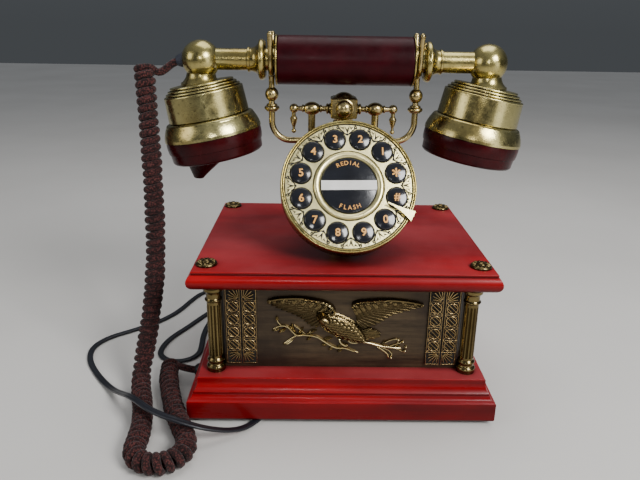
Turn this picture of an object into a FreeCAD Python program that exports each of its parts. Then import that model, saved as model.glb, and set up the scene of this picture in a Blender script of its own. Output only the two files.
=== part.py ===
import FreeCAD, Part
import math
import os
from FreeCAD import Vector as V

# Antique-style desk telephone with a push-button dial, millimetres, +Z up.
# Origin: on the surface it stands on, under the centre of the base. The dial faces -Y.

# ---- case -----------------------------------------------------------------------------------
FOOT_H = 3.0
PLINTH_W, PLINTH_D = 220.0, 182.0
PLATFORM_Z = 34.0
PLINTH_WALL = 10.0
BASE_PLATE_T = 1.2
BODY_W, BODY_D = 174.0, 136.0
BODY_WALL = 3.0
PANEL_T = 1.2
SLAB_W, SLAB_D = 212.4, 174.0
SLAB_Z0, SLAB_Z1 = 101.5, 114.8
COLUMN_X, COLUMN_Y = 90.8, 70.8
COLUMN_R = 5.05
COLUMN_CLEAR_R = 7.2
ROSETTE_X, ROSETTE_FRONT_Y, ROSETTE_REAR_Y, ROSETTE_R = 94.6, -69.5, 73.5, 7.3
STRIP_X0, STRIP_X1, STRIP_Z0, STRIP_Z1, STRIP_T = 61.0, 83.0, 37.5, 98.1, 1.4

# ---- dial, in its own frame: X right, Y up the face, Z out of the face --------------------------
# The head is tilted back and turned a little to the right on its post.
DIAL_TILT, DIAL_YAW = 60.0, 3.8
DIAL_REACH, DIAL_Z = 46.0, 165.4
DIAL_TURN = FreeCAD.Rotation(V(0, 0, 1), DIAL_YAW) * FreeCAD.Rotation(V(1, 0, 0), DIAL_TILT)
DIAL_C = V(DIAL_REACH * math.sin(math.radians(DIAL_YAW)),
           -DIAL_REACH * math.cos(math.radians(DIAL_YAW)), DIAL_Z)
DIAL_R = 48.0
DIAL_DEPTH = 15.0
FACE_R, FACE_T = 45.0, 1.6
RING_R0, RING_R1, RING_H = 20.2, 24.5, 1.8
KEY_PITCH_R, KEY_R, KEY_GAP, KEY_TRAVEL = 34.6, 7.3, 0.35, 1.5
KEY_FLANGE_R = 8.2
KEY_NAMES = ["1", "2", "3", "4", "5", "6", "7", "8", "9", "0", "hash", "star"]
FIRST_KEY_DEG, KEY_STEP_DEG = 45.0, 30.0
MEMBRANE_Z, MEMBRANE_T, BOARD_T = -5.4, 1.4, 1.6
LABEL_H = 6.8

# ---- pedestal and cradle ----------------------------------------------------------------------
PEDESTAL_TOP = 176.5
PEDESTAL_R = 8.5
PLUNGER_R, PLUNGER_BORE_R = 2.8, 3.2
PLUNGER_END_Z = 99.8
CRADLE_GAP = 1.0
YOKE_Z, YOKE_R, YOKE_BEND = 188.5, 2.3, 14.0
FORK_X = 53.2
FORK_NECK_Z, FORK_ROD_R = 232.0, 1.9
BAR_Z = 212.3
CUBE_HALF, CUBE_Z0, CUBE_Z1, CUBE_APEX_Z = 9.6, 206.3, 220.7, 224.6
POST_X, POST_R = 23.6, 2.7
BAR_END_X = 37.0

# ---- handset -----------------------------------------------------------------------------------
HANDSET_Z = 246.6
GRIP_HALF, GRIP_R = 48.5, 17.2
SPINDLE_R = 8.0
TUBE_R, TUBE_BORE_R = 7.6, 4.5
BALL_X, BALL_R, BALL_DROP = 104.0, 13.9, 0.6
CUP_X, CUP_RISE, CUP_TILT = 108.2, 1.8, 11.0
CUP_TOP = 18.8
GLAND_SEAT = V(-116.4, -0.6, 245.7)

# ---- cords --------------------------------------------------------------------------------------
COIL_R = 7.6
WIRE_R = 2.8
FLAT_W, FLAT_T = 5.0, 2.2

# The curly cord's centreline, from just below the handset to its last turn by the base.
COIL_ROUTE = [
    (-144.0, -6.0, 242.0), (-141.0, -15.0, 192.0), (-139.4, -24.0, 141.0), (-139.8, -31.0, 99.0),
    (-144.5, -36.0, 63.0), (-150.0, -40.0, 35.0), (-153.5, -47.0, 15.5), (-150.5, -62.0, 8.0),
    (-143.5, -82.0, 8.0), (-139.0, -101.0, 8.0), (-137.0, -117.5, 8.0), (-137.2, -131.0, 8.0),
    (-130.8, -140.4, 8.0), (-120.5, -143.7, 8.0), (-110.2, -140.4, 8.0), (-103.8, -131.6, 8.0),
    (-103.6, -121.0, 8.0), (-110.5, -106.0, 8.0), (-119.0, -89.0, 8.0), (-126.0, -69.5, 8.0),
    (-131.5, -52.0, 8.0), (-135.0, -38.0, 8.6), (-136.0, -25.5, 10.0),
]
HANDSET_LEAD = [
    (-121.4, -0.8, 244.8), (-126.0, -1.6, 243.2), (-130.0, -4.0, 239.8), (-132.7, -6.6, 235.6),
]
BASE_LEAD = [
    (-128.6, -31.6, 11.2), (-124.0, -35.0, 12.2), (-119.0, -36.6, 11.6), (-114.1, -37.0, 11.0),
]
# The flat line cord, from its clamp under the base to the coil behind it.
LINE_ROUTE = [
    (-50.0, -50.0, 1.5), (-52.5, -68.0, 1.3), (-59.0, -87.0, 1.3), (-71.0, -103.0, 3.6),
    (-90.0, -114.5, 13.0), (-110.0, -117.0, 21.5), (-131.0, -106.5, 22.0), (-149.0, -88.0, 20.5),
    (-163.0, -70.0, 11.0), (-177.0, -52.0, 3.0), (-194.0, -31.5, 1.3), (-209.5, -8.0, 1.3),
    (-214.5, 14.0, 1.3), (-206.0, 32.0, 1.3), (-189.0, 45.0, 1.3), (-170.0, 61.0, 1.3),
    (-154.5, 84.0, 1.3), (-147.0, 110.0, 1.3), (-139.0, 131.0, 1.3), (-123.0, 142.0, 1.3),
    (-107.0, 136.0, 1.3), (-104.0, 120.0, 1.3), (-114.5, 101.0, 1.3), (-127.5, 77.0, 1.3),
    (-138.0, 54.0, 1.3), (-149.0, 34.0, 1.3), (-153.5, 16.0, 1.3), (-152.5, 2.0, 1.3),
    (-142.5, -8.0, 1.3), (-128.5, -7.5, 1.3), (-119.0, 2.5, 1.3), (-119.0, 17.0, 1.3),
    (-121.5, 40.0, 1.3), (-119.5, 66.0, 1.3), (-113.5, 89.0, 1.3), (-98.0, 104.0, 1.3),
    (-78.0, 104.5, 1.3), (-62.0, 98.5, 1.3),
]
COIL_C, COIL_OUT_R, COIL_IN_R, COIL_H = V(-62.0, 131.5, 0), 36.4, 12.6, 4.8
PLUG_C = V(2.0, 132.0, 0)
PLUG_LEAD = [
    (-64.0, 98.0, 3.6), (-48.0, 97.4, 3.5), (-31.0, 99.0, 2.4), (-18.5, 108.0, 1.3),
    (-17.0, 123.0, 1.3), (-10.5, 131.6, 2.4), (-4.6, 132.0, 3.4),
]

NODES = {}


def node(name, shape):
    NODES[name] = shape
    return shape


def path(start, *steps):
    """Edges from start: a point adds a line, and a pair (middle, end) adds an arc."""
    edges, here = [], start
    for step in steps:
        if isinstance(step, tuple):
            middle, end = step
            edges.append(Part.Arc(here, middle, end).toShape())
        else:
            end = step
            edges.append(Part.LineSegment(here, end).toShape())
        here = end
    return edges


def turned(*outline):
    """Solid of revolution about Z. outline is (r, z) points, or (middle, end) pairs for an arc.

    The step (h,) is a dome of height h from the point before it to the axis."""
    here = V(outline[0][0], 0, outline[0][1])
    start, steps = here, []
    for s in outline[1:]:
        if len(s) == 1:
            rise = s[0]
            ball_r = (here.x ** 2 + rise ** 2) / (2 * rise)
            centre = V(0, 0, here.z + rise - ball_r)
            end = V(0, 0, here.z + rise)
            toward = (here - centre) / ball_r + (end - centre) / ball_r
            toward.normalize()
            steps.append((centre + toward * ball_r, end))
        elif isinstance(s[0], tuple):
            end = V(s[1][0], 0, s[1][1])
            steps.append((V(s[0][0], 0, s[0][1]), end))
        else:
            end = V(s[0], 0, s[1])
            steps.append(end)
        here = end
    if not here.isEqual(start, 1e-6):
        steps.append(start)
    return Part.Face(Part.Wire(path(start, *steps))).revolve(V(0, 0, 0), V(0, 0, 1), 360)


def cyl(r, z0, z1, x=0.0, y=0.0):
    return Part.makeCylinder(r, z1 - z0, V(x, y, z0))


def box(x0, x1, y0, y1, z0, z1):
    return Part.makeBox(x1 - x0, y1 - y0, z1 - z0, V(x0, y0, z0))


def placed(shape, origin, rotation=None):
    out = shape.copy()
    move = FreeCAD.Placement(origin, rotation or FreeCAD.Rotation())
    out.Placement = move.multiply(shape.Placement)
    return out


def along(axis):
    """Rotation that takes +Z to the given axis."""
    return FreeCAD.Rotation(V(0, 0, 1), axis)


def group(shapes):
    return Part.makeCompound(shapes)


def rod(start, end, r):
    return Part.makeCylinder(r, (end - start).Length, start, end - start)


def moulded_block(half_x, half_y, outline):
    """Block whose four sides carry one moulding, mitred at the corners.

    outline runs up one side as (inset, z) points, or pairs of them for an arc."""
    def prism(half, reach, turn):
        def right(p):
            return V(half - p[0], 0, p[1])

        def left(p):
            return V(p[0] - half, 0, p[1])

        up, corners = [], [outline[0]]
        for s in outline[1:]:
            arc = isinstance(s[0], tuple)
            up.append((right(s[0]), right(s[1])) if arc else right(s))
            corners.append(s[1] if arc else s)
        down = []
        for s, before in zip(reversed(outline[1:]), reversed(corners[:-1])):
            down.append((left(s[0]), left(before)) if isinstance(s[0], tuple) else left(before))
        start = right(outline[0])
        wire = Part.Wire(path(start, *up, left(corners[-1]), *down, start))
        solid = Part.Face(wire).extrude(V(0, 2 * reach, 0))
        solid.translate(V(0, -reach, 0))
        solid.rotate(V(0, 0, 0), V(0, 0, 1), turn)
        return solid

    return prism(half_x, half_y + 1, 0).common(prism(half_y, half_x + 1, 90))


def each_corner(x, y):
    return [(sx * x, sy * y) for sx in (-1, 1) for sy in (-1, 1)]


def rounded_route(points, name):
    """Straight runs joined by tangent arcs, each as large as its two runs allow."""
    pts = [V(*p) for p in points]
    edges, here, radii = [], pts[0], []
    for before, corner, after in zip(pts, pts[1:], pts[2:]):
        back, ahead = before - corner, after - corner
        reach = 0.45 * min(back.Length, ahead.Length)
        half_turn = (math.pi - back.getAngle(ahead)) / 2
        radius = reach / math.tan(half_turn)
        radii.append(radius)
        back.normalize()
        ahead.normalize()
        inward = back + ahead
        inward.normalize()
        middle = corner + inward * (radius / math.cos(half_turn) - radius)
        edges.append(Part.LineSegment(here, corner + back * reach).toShape())
        here = corner + ahead * reach
        edges.append(Part.Arc(corner + back * reach, middle, here).toShape())
    edges.append(Part.LineSegment(here, pts[-1]).toShape())
    wire = Part.Wire(edges)
    print(f"{name}: length {wire.Length:.1f}, smallest radius {min(radii):.1f}")
    return wire


def tube(points, r, name):
    wire = rounded_route(points, name)
    direction = V(*points[1]) - V(*points[0])
    ring = Part.Wire(Part.makeCircle(r, V(*points[0]), direction))
    solid = wire.makePipeShell([ring], True, True)
    solid = solid if solid.ShapeType == "Solid" else Part.Solid(solid)
    print(f"   volume {solid.Volume:.0f}, section times length {math.pi * r * r * wire.Length:.0f}")
    return solid


def flat_tube(points, width, thick, name):
    """A flat cord: the section stays level across while the route turns and climbs."""
    wire = rounded_route(points, name)
    start = V(*points[0])
    ahead = V(*points[1]) - start
    ahead.normalize()
    side = ahead.cross(V(0, 0, 1))
    side.normalize()
    up = side.cross(ahead)
    corners = [start + side * (a * width / 2) + up * (b * thick / 2)
               for a, b in ((-1, -1), (1, -1), (1, 1), (-1, 1))]
    sweep = Part.BRepOffsetAPI.MakePipeShell(wire)
    sweep.setBiNormalMode(V(0, 0, 1))
    sweep.add(Part.makePolygon(corners + corners[:1]))
    sweep.build()
    sweep.makeSolid()
    solid = sweep.shape()
    print(f"   volume {solid.Volume:.0f}, section times length {width * thick * wire.Length:.0f}")
    return solid


# ---- base ---------------------------------------------------------------------------------------
def make_plinth():
    z0, z1 = FOOT_H, PLATFORM_Z
    outline = [
        (2.2, z0), ((0.6, z0 + 0.8), (0.0, z0 + 2.6)), (0.0, z0 + 14.6),
        ((0.3, z0 + 15.3), (1.0, z0 + 15.6)), ((2.9, z0 + 17.0), (3.8, z0 + 19.4)),
        (4.4, z0 + 19.4), (4.4, z0 + 20.8), ((6.3, z0 + 23.6), (7.2, z0 + 27.4)),
        (7.2, z1 - 0.9), ((7.45, z1 - 0.25), (8.1, z1)),
    ]
    solid = moulded_block(PLINTH_W / 2, PLINTH_D / 2, outline)
    in_x, in_y = PLINTH_W / 2 - PLINTH_WALL, PLINTH_D / 2 - PLINTH_WALL
    hollow = box(-in_x, in_x, -in_y, in_y, z0 - 1, z1 - 6)
    boss = 14.0
    for x, y in each_corner(in_x - boss / 2, in_y - boss / 2):
        hollow = hollow.cut(box(x - boss / 2, x + boss / 2, y - boss / 2, y + boss / 2,
                                z0 + 0.4 + BASE_PLATE_T, z1))
    solid = solid.cut(hollow)
    solid = solid.cut(box(-70, 70, -50, 50, z0, z1 + 1))
    solid = solid.cut(rod(V(-PLINTH_W / 2 - 1, -37, 11), V(-in_x + 1, -37, 11), 3.4))
    for x, y in each_corner(in_x - boss / 2, in_y - boss / 2):
        solid = solid.cut(cyl(1.3, z0, z0 + 14, x, y))
    node("plinth", solid)

    plate_z0 = z0 + 0.4
    plate = box(-in_x + 0.2, in_x - 0.2, -in_y + 0.2, in_y - 0.2,
                plate_z0, plate_z0 + BASE_PLATE_T)
    screws = []
    for x, y in each_corner(in_x - boss / 2, in_y - boss / 2):
        plate = plate.cut(cyl(1.7, plate_z0 - 1, plate_z0 + 3, x, y))
        head = turned((0, z0 - 1.1), (1.6, z0 - 1.1), ((2.7, z0 - 0.8), (3.0, plate_z0)),
                      (1.25, plate_z0), (1.25, z0 + 12), (0, z0 + 12.8))
        screws.append(placed(head, V(x, y, 0)))
    plate = plate.cut(box(-57, -43, -49.8, -36, plate_z0 - 1, plate_z0 + 2))
    node("base_plate", plate)
    node("base_screws", group(screws))
    feet = [placed(turned((0, 0), (7.2, 0), ((8.0, 0.3), (8.3, 1.0)), (8.0, plate_z0), (0, plate_z0)),
                   V(x, y, 0)) for x, y in each_corner(72.0, 54.0)]
    node("rubber_feet", group(feet))

    inner_z = plate_z0 + BASE_PLATE_T
    block = box(-60, 40, -34, 34, inner_z, inner_z + 9)
    upright = [e for e in block.Edges if abs(e.Vertexes[0].Z - e.Vertexes[1].Z) > 1]
    node("ballast_weight", block.makeFillet(2.0, upright))
    node("ringer", placed(turned((0, 0), (21, 0), (21, 4), (15, 9), (6, 9), (6, 11), (0, 11)),
                          V(68, 0, inner_z)))
    clamp = box(-56.6, -43.4, -49.4, -36.4, 0.3, inner_z).cut(
        box(-58, -42, -50, -47.5, 2.9, 3.9))
    node("line_cord_clamp", clamp)
    gland = turned((0, 0), (5.2, 0), (5.2, 1.2), ((4.6, 2.6), (3.6, 3.8)), (0, 3.8))
    gland = gland.fuse(cyl(3.2, -12, 0.1))
    node("base_cord_gland", placed(gland, V(-PLINTH_W / 2 - 0.05, -37, 11), along(V(-1, 0, 0))))


def make_body():
    hx, hy = BODY_W / 2, BODY_D / 2
    z0, z1 = PLATFORM_Z, SLAB_Z0
    clearance = [cyl(COLUMN_CLEAR_R, z0 - 1, z1 + 1, x, y)
                 for x, y in each_corner(COLUMN_X, COLUMN_Y)]
    ox, oy = hx - PANEL_T, hy - PANEL_T
    shell = box(-ox, ox, -oy, oy, z0, z1)
    shell = shell.cut(box(-ox + BODY_WALL, ox - BODY_WALL, -oy + BODY_WALL, oy - BODY_WALL,
                          z0 - 1, z1 + 1))
    front = box(-ox, ox, -hy, -oy, z0, z1)
    rear = box(-ox, ox, oy, hy, z0, z1)
    sides = [box(-hx, -ox, -oy, oy, z0, z1), box(ox, hx, -oy, oy, z0, z1)]
    slot = box(-40.5, -25.5, oy - 6, hy + 1, 56.5, 63.5)
    for c in clearance:
        shell, front, rear = shell.cut(c), front.cut(c), rear.cut(c)
        sides = [s.cut(c) for s in sides]
    node("body_shell", shell.cut(slot))
    node("front_panel", front)
    node("side_and_rear_panels", group(sides + [rear.cut(slot)]))

    knob_y = hy - 4.0
    knob = box(-40.0, -32.0, knob_y, hy + 2.5, 57.0, 63.0)
    for x in (-38.4, -36.6, -34.8):
        knob = knob.cut(box(x, x + 0.8, hy + 1.9, hy + 3, 56, 64))
    node("ringer_switch", knob)

    def strip():
        plate = box(STRIP_X0, STRIP_X1, 0, STRIP_T, STRIP_Z0, STRIP_Z1)
        middle = (STRIP_X0 + STRIP_X1) / 2
        return plate.cut(box(middle - 0.6, middle + 0.6, -1, 0.6, STRIP_Z0 + 10, STRIP_Z1 - 10))

    strips = []
    for sign in (-1, 1):
        s = strip()
        s.translate(V(0, -hy - STRIP_T, 0))
        strips.append(s if sign > 0 else s.mirror(V(0, 0, 0), V(1, 0, 0)))
    width = STRIP_X1 - STRIP_X0
    for side in (-1, 1):
        for sign in (-1, 1):
            lo, hi = sorted((sign * (hy - 6.5), sign * (hy - 6.5 - width)))
            x0, x1 = sorted((side * hx, side * (hx + STRIP_T)))
            strips.append(box(x0, x1, lo, hi, STRIP_Z0, STRIP_Z1))
    node("filigree_strips", group(strips))


def make_eagle():
    """Spread-winged eagle on a sprig, as a relief on the front panel."""
    face_y = -BODY_D / 2

    def leaf_shape(points, depth):
        curve = Part.BSplineCurve()
        curve.interpolate([V(x, face_y, z) for x, z in points], PeriodicFlag=True)
        return Part.Face(Part.Wire(curve.toShape())).extrude(V(0, -depth, 0))

    left_wing = leaf_shape([(-54, 86.5), (-41, 90), (-27, 91), (-12, 88), (-4, 80), (-2, 68),
                            (-12, 63), (-20, 68), (-30, 74), (-42, 80)], 3.4)
    right_wing = leaf_shape([(56, 86.2), (42, 89.5), (28, 90.5), (14, 89), (6, 83), (1, 68),
                             (12, 61), (22, 66), (32, 74), (44, 81)], 3.4)
    body = leaf_shape([(-17, 78), (-13, 80.5), (-8, 77), (4, 74), (18, 67), (30, 61), (22, 57),
                       (6, 58), (-8, 60), (-14, 70)], 5.6)
    sprig = leaf_shape([(-50, 65), (-38, 63), (-24, 62), (-8, 57), (8, 55), (24, 55), (38, 60),
                        (47, 50), (35, 43), (16, 47), (-2, 47), (-18, 52), (-34, 56)], 1.8)
    eagle = left_wing.fuse([right_wing, body, sprig])
    node("eagle_emblem", eagle.removeSplitter())


def make_columns():
    z0, z1 = PLATFORM_Z, SLAB_Z0
    r = COLUMN_R
    outline = [
        (0, z0), (6.7, z0), (6.7, z0 + 1.6), ((6.9, z0 + 3.3), (5.9, z0 + 4.6)),
        ((5.3, z0 + 5.8), (5.6, z0 + 7.0)), ((6.3, z0 + 8.0), (5.8, z0 + 9.2)), (r, z0 + 10.2),
        (r - 0.2, z1 - 13.5), (5.5, z1 - 12.8), ((6.1, z1 - 12.0), (5.5, z1 - 11.2)),
        (5.1, z1 - 10.6), (5.1, z1 - 8.6), ((5.5, z1 - 6.4), (6.8, z1 - 5.0)), (6.8, z1 - 3.0),
        (6.4, z1 - 2.6), (6.4, z1 - 1.6), (6.8, z1 - 1.2), (6.8, z1), (0, z1),
    ]
    column = turned(*outline)
    flutes = 12
    for k in range(flutes):
        a = math.radians(360.0 / flutes * (k + 0.5))
        x, y = (r + 0.25) * math.cos(a), (r + 0.25) * math.sin(a)
        column = column.cut(cyl(0.85, z0 + 12, z1 - 15.5, x, y))
    node("columns", group([placed(column, V(x, y, 0)) for x, y in each_corner(COLUMN_X, COLUMN_Y)]))


def make_top():
    z0, z1 = SLAB_Z0, SLAB_Z1
    outline = [
        (4.6, z0), ((0.0, z0 + 5.6), (2.3, z1 - 2.5)), (3.5, z1 - 2.3), (3.5, z1 - 1.6),
        (2.9, z1 - 1.3), (2.9, z1 - 0.7), ((3.1, z1 - 0.15), (3.6, z1)),
    ]
    slab = moulded_block(SLAB_W / 2, SLAB_D / 2, outline)
    slab = slab.cut(cyl(PLUNGER_BORE_R, z0 - 1, z1 + 1))
    screws = []
    rosette_places = [(x, y) for y in (ROSETTE_FRONT_Y, ROSETTE_REAR_Y) for x in (-ROSETTE_X, ROSETTE_X)]
    for x, y in rosette_places:
        slab = slab.cut(cyl(1.6, z1 - 8, z1 + 1, x, y))
    r = ROSETTE_R
    rosette = turned((0, z1 - 7), (1.5, z1 - 7), (1.5, z1), (r, z1),
                     ((r - 0.1, z1 + 1.3), (r - 1.3, z1 + 2.0)),
                     ((r - 2.6, z1 + 2.4), (r - 3.9, z1 + 2.2)), (2.0,))
    for x, y in rosette_places:
        screws.append(placed(rosette, V(x, y, 0)))
    node("top_plate", slab)
    node("rosettes", group(screws))


def make_electronics():
    z = PLATFORM_Z
    board = box(-76, 76, -56, 56, z, z + 1.6).cut(box(-12, 12, -12, 12, z - 1, z + 3))
    parts = [box(-60, -42, 20, 40, z + 1.6, z + 9), box(-30, -10, -44, -30, z + 1.6, z + 5),
             box(20, 44, 18, 34, z + 1.6, z + 4.4), cyl(5, z + 1.6, z + 14, 56, -30)]
    node("main_board", board.fuse(parts))
    top = PLUNGER_END_Z - 0.3
    switch = box(-10, 10, -4, 4, top - 14, top - 1.2).fuse(cyl(1.4, top - 1.3, top, 0, 0))
    bracket = box(10, 11.2, -6, 6, top - 14, SLAB_Z0).fuse([
        box(10, 18, -6, 6, SLAB_Z0 - 1.2, SLAB_Z0), box(-11.2, -10, -6, 6, top - 14, SLAB_Z0),
        box(-18, -10, -6, 6, SLAB_Z0 - 1.2, SLAB_Z0)])
    node("hook_switch", switch.fuse(bracket))


# ---- dial ---------------------------------------------------------------------------------------
def on_dial(shape):
    return placed(shape, DIAL_C, DIAL_TURN)


def dial_point(x, y, z):
    return FreeCAD.Placement(DIAL_C, DIAL_TURN).multVec(V(x, y, z))


def polar(r, deg):
    return r * math.cos(math.radians(deg)), r * math.sin(math.radians(deg))


def make_dial():
    r, d = DIAL_R, DIAL_DEPTH
    wall_r = FACE_R + 0.25
    seat_z = MEMBRANE_Z - MEMBRANE_T - BOARD_T
    housing = turned(
        (wall_r, 0.0), ((wall_r + 0.5, 0.9), (wall_r + 1.1, 0.5)), (wall_r + 1.4, 0.2),
        ((r - 0.85, 1.2), (r - 0.35, 0.1)), (r - 0.4, -1.0), (r, -1.6), (r, -d + 2.0),
        ((r - 0.6, -d + 0.6), (r - 2.2, -d)), ((31.0, -d - 6.2), (12.0, -d - 8.6)),
        (10.5, -d - 8.6), (10.5, -d - 6.4), ((30.0, -d - 4.2), (wall_r - 4.5, -d + 1.0)),
        (wall_r - 4.5, seat_z), (wall_r, seat_z))
    node("dial_housing", on_dial(housing))

    face = turned((RING_R0, -FACE_T), (FACE_R, -FACE_T), (FACE_R, -0.4), (FACE_R - 0.5, 0),
                  (RING_R1 + 0.4, 0), ((RING_R1 - 0.2, RING_H - 0.6), (RING_R1 - 1.8, RING_H)),
                  ((RING_R0 + 1.4, RING_H - 0.3), (RING_R0, 0.3)))
    for k in range(len(KEY_NAMES)):
        x, y = polar(KEY_PITCH_R, FIRST_KEY_DEG + KEY_STEP_DEG * k)
        face = face.cut(cyl(KEY_R + KEY_GAP, -FACE_T - 1, 2, x, y))
    node("dial_face", on_dial(face))

    key = turned((0, -3.3), (KEY_FLANGE_R, -3.3), (KEY_FLANGE_R, -FACE_T - 0.3),
                 (KEY_R, -FACE_T - 0.3), (KEY_R, 0.7), ((KEY_R - 0.4, 1.35), (KEY_R - 1.3, 1.7)),
                 (0.6,))
    for k, name in enumerate(KEY_NAMES):
        x, y = polar(KEY_PITCH_R, FIRST_KEY_DEG + KEY_STEP_DEG * k)
        moved = key.copy()
        moved.translate(V(x, y, 0))
        node(f"key_{name}", on_dial(moved))

    half = LABEL_H / 2
    hub_r = RING_R0 - 0.35
    disc = turned((0, -3.3), (hub_r, -3.3), (hub_r, 0.2), ((hub_r - 0.3, 0.7), (hub_r - 1.0, 0.9)),
                  (0.8,))
    node("redial_key", on_dial(disc.common(box(-30, 30, half + 0.35, 30, -5, 5))))
    node("flash_key", on_dial(disc.common(box(-30, 30, -30, -half - 0.35, -5, 5))))
    strip_len = math.sqrt(hub_r ** 2 - half ** 2)
    label = box(-strip_len, strip_len, -half, half, MEMBRANE_Z, 1.5)
    node("label_strip", on_dial(label))

    out_r = FACE_R
    membrane = cyl(out_r, MEMBRANE_Z - MEMBRANE_T, MEMBRANE_Z)
    frame = cyl(out_r, MEMBRANE_Z, -FACE_T).cut(cyl(out_r - 1.7, MEMBRANE_Z - 1, 0))
    node("key_membrane", on_dial(membrane.fuse(frame)))
    board_z = MEMBRANE_Z - MEMBRANE_T
    node("key_board", on_dial(cyl(out_r, board_z - BOARD_T, board_z)))

    # The finger stop is a curved blade over the face, folded down over the rim.
    z = 3.0
    tip_up, tip_low = polar(29.5, -25.6), polar(29.5, -27.4)
    upper, lower = polar(49.4, -23.5), polar(49.4, -32.5)
    concave_up, concave_low = polar(39.5, -25.0), polar(39.5, -28.9)

    def at(p):
        return V(p[0], p[1], z)

    blade = Part.Face(Part.Wire(path(at(tip_up), (at(concave_up), at(upper)),
                                     (at(polar(49.4, -28.0)), at(lower)),
                                     (at(concave_low), at(tip_low)), at(tip_up))))
    blade = blade.extrude(V(0, 0, 1.0))
    fold = cyl(49.2, -7, z + 0.5).cut(cyl(DIAL_R + 0.05, -8, z + 1))
    wedge = Part.Face(Part.makePolygon([V(0, 0, -8), V(*polar(60, -24.0), -8),
                                        V(*polar(60, -32.0), -8), V(0, 0, -8)])).extrude(V(0, 0, 12))
    node("finger_stop", on_dial(blade.fuse(fold.common(wedge))))


def make_pedestal():
    z0, z1 = SLAB_Z1, PEDESTAL_TOP
    post = turned((PLUNGER_BORE_R, z0), (24, z0), ((24.6, z0 + 1.6), (23.4, z0 + 3.2)),
                  (21.5, z0 + 3.6), ((12.4, z0 + 6.4), (9.6, z0 + 14.0)),
                  ((10.8, z0 + 15.6), (9.6, z0 + 17.2)), (PEDESTAL_R, z0 + 18.2),
                  (PEDESTAL_R - 0.6, z1 - 9.0), (9.4, z1 - 8.2), ((10.4, z1 - 6.6), (9.4, z1 - 5.0)),
                  (8.0, z1 - 4.2), (8.0, z1 - 2.6), ((9.6, z1 - 2.2), (9.8, z1)),
                  (PLUNGER_BORE_R, z1))
    back = dial_point(0, 0, -DIAL_DEPTH - 8.6)
    reach = math.hypot(back.x, back.y) / math.sin(math.radians(DIAL_TILT))
    root = dial_point(0, 0, -DIAL_DEPTH - 8.6 - reach)
    neck = rod(back, root, 8.6)
    seat = rod(back, dial_point(0, 0, -DIAL_DEPTH - 11.6), 11.9)
    plug = rod(dial_point(0, 0, -DIAL_DEPTH - 6.0), back, 10.3)
    bore = cyl(PLUNGER_BORE_R, z0 - 1, z1 + 1)
    node("pedestal", post.fuse([neck, seat, plug]).cut(bore).removeSplitter())


# ---- cradle: rises as one when the handset is lifted ---------------------------------------------
def across(shape, x, z):
    """Turns a shape made about Z to lie along +X from (x, 0, z)."""
    return placed(shape, V(x, 0, z), along(V(1, 0, 0)))


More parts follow.
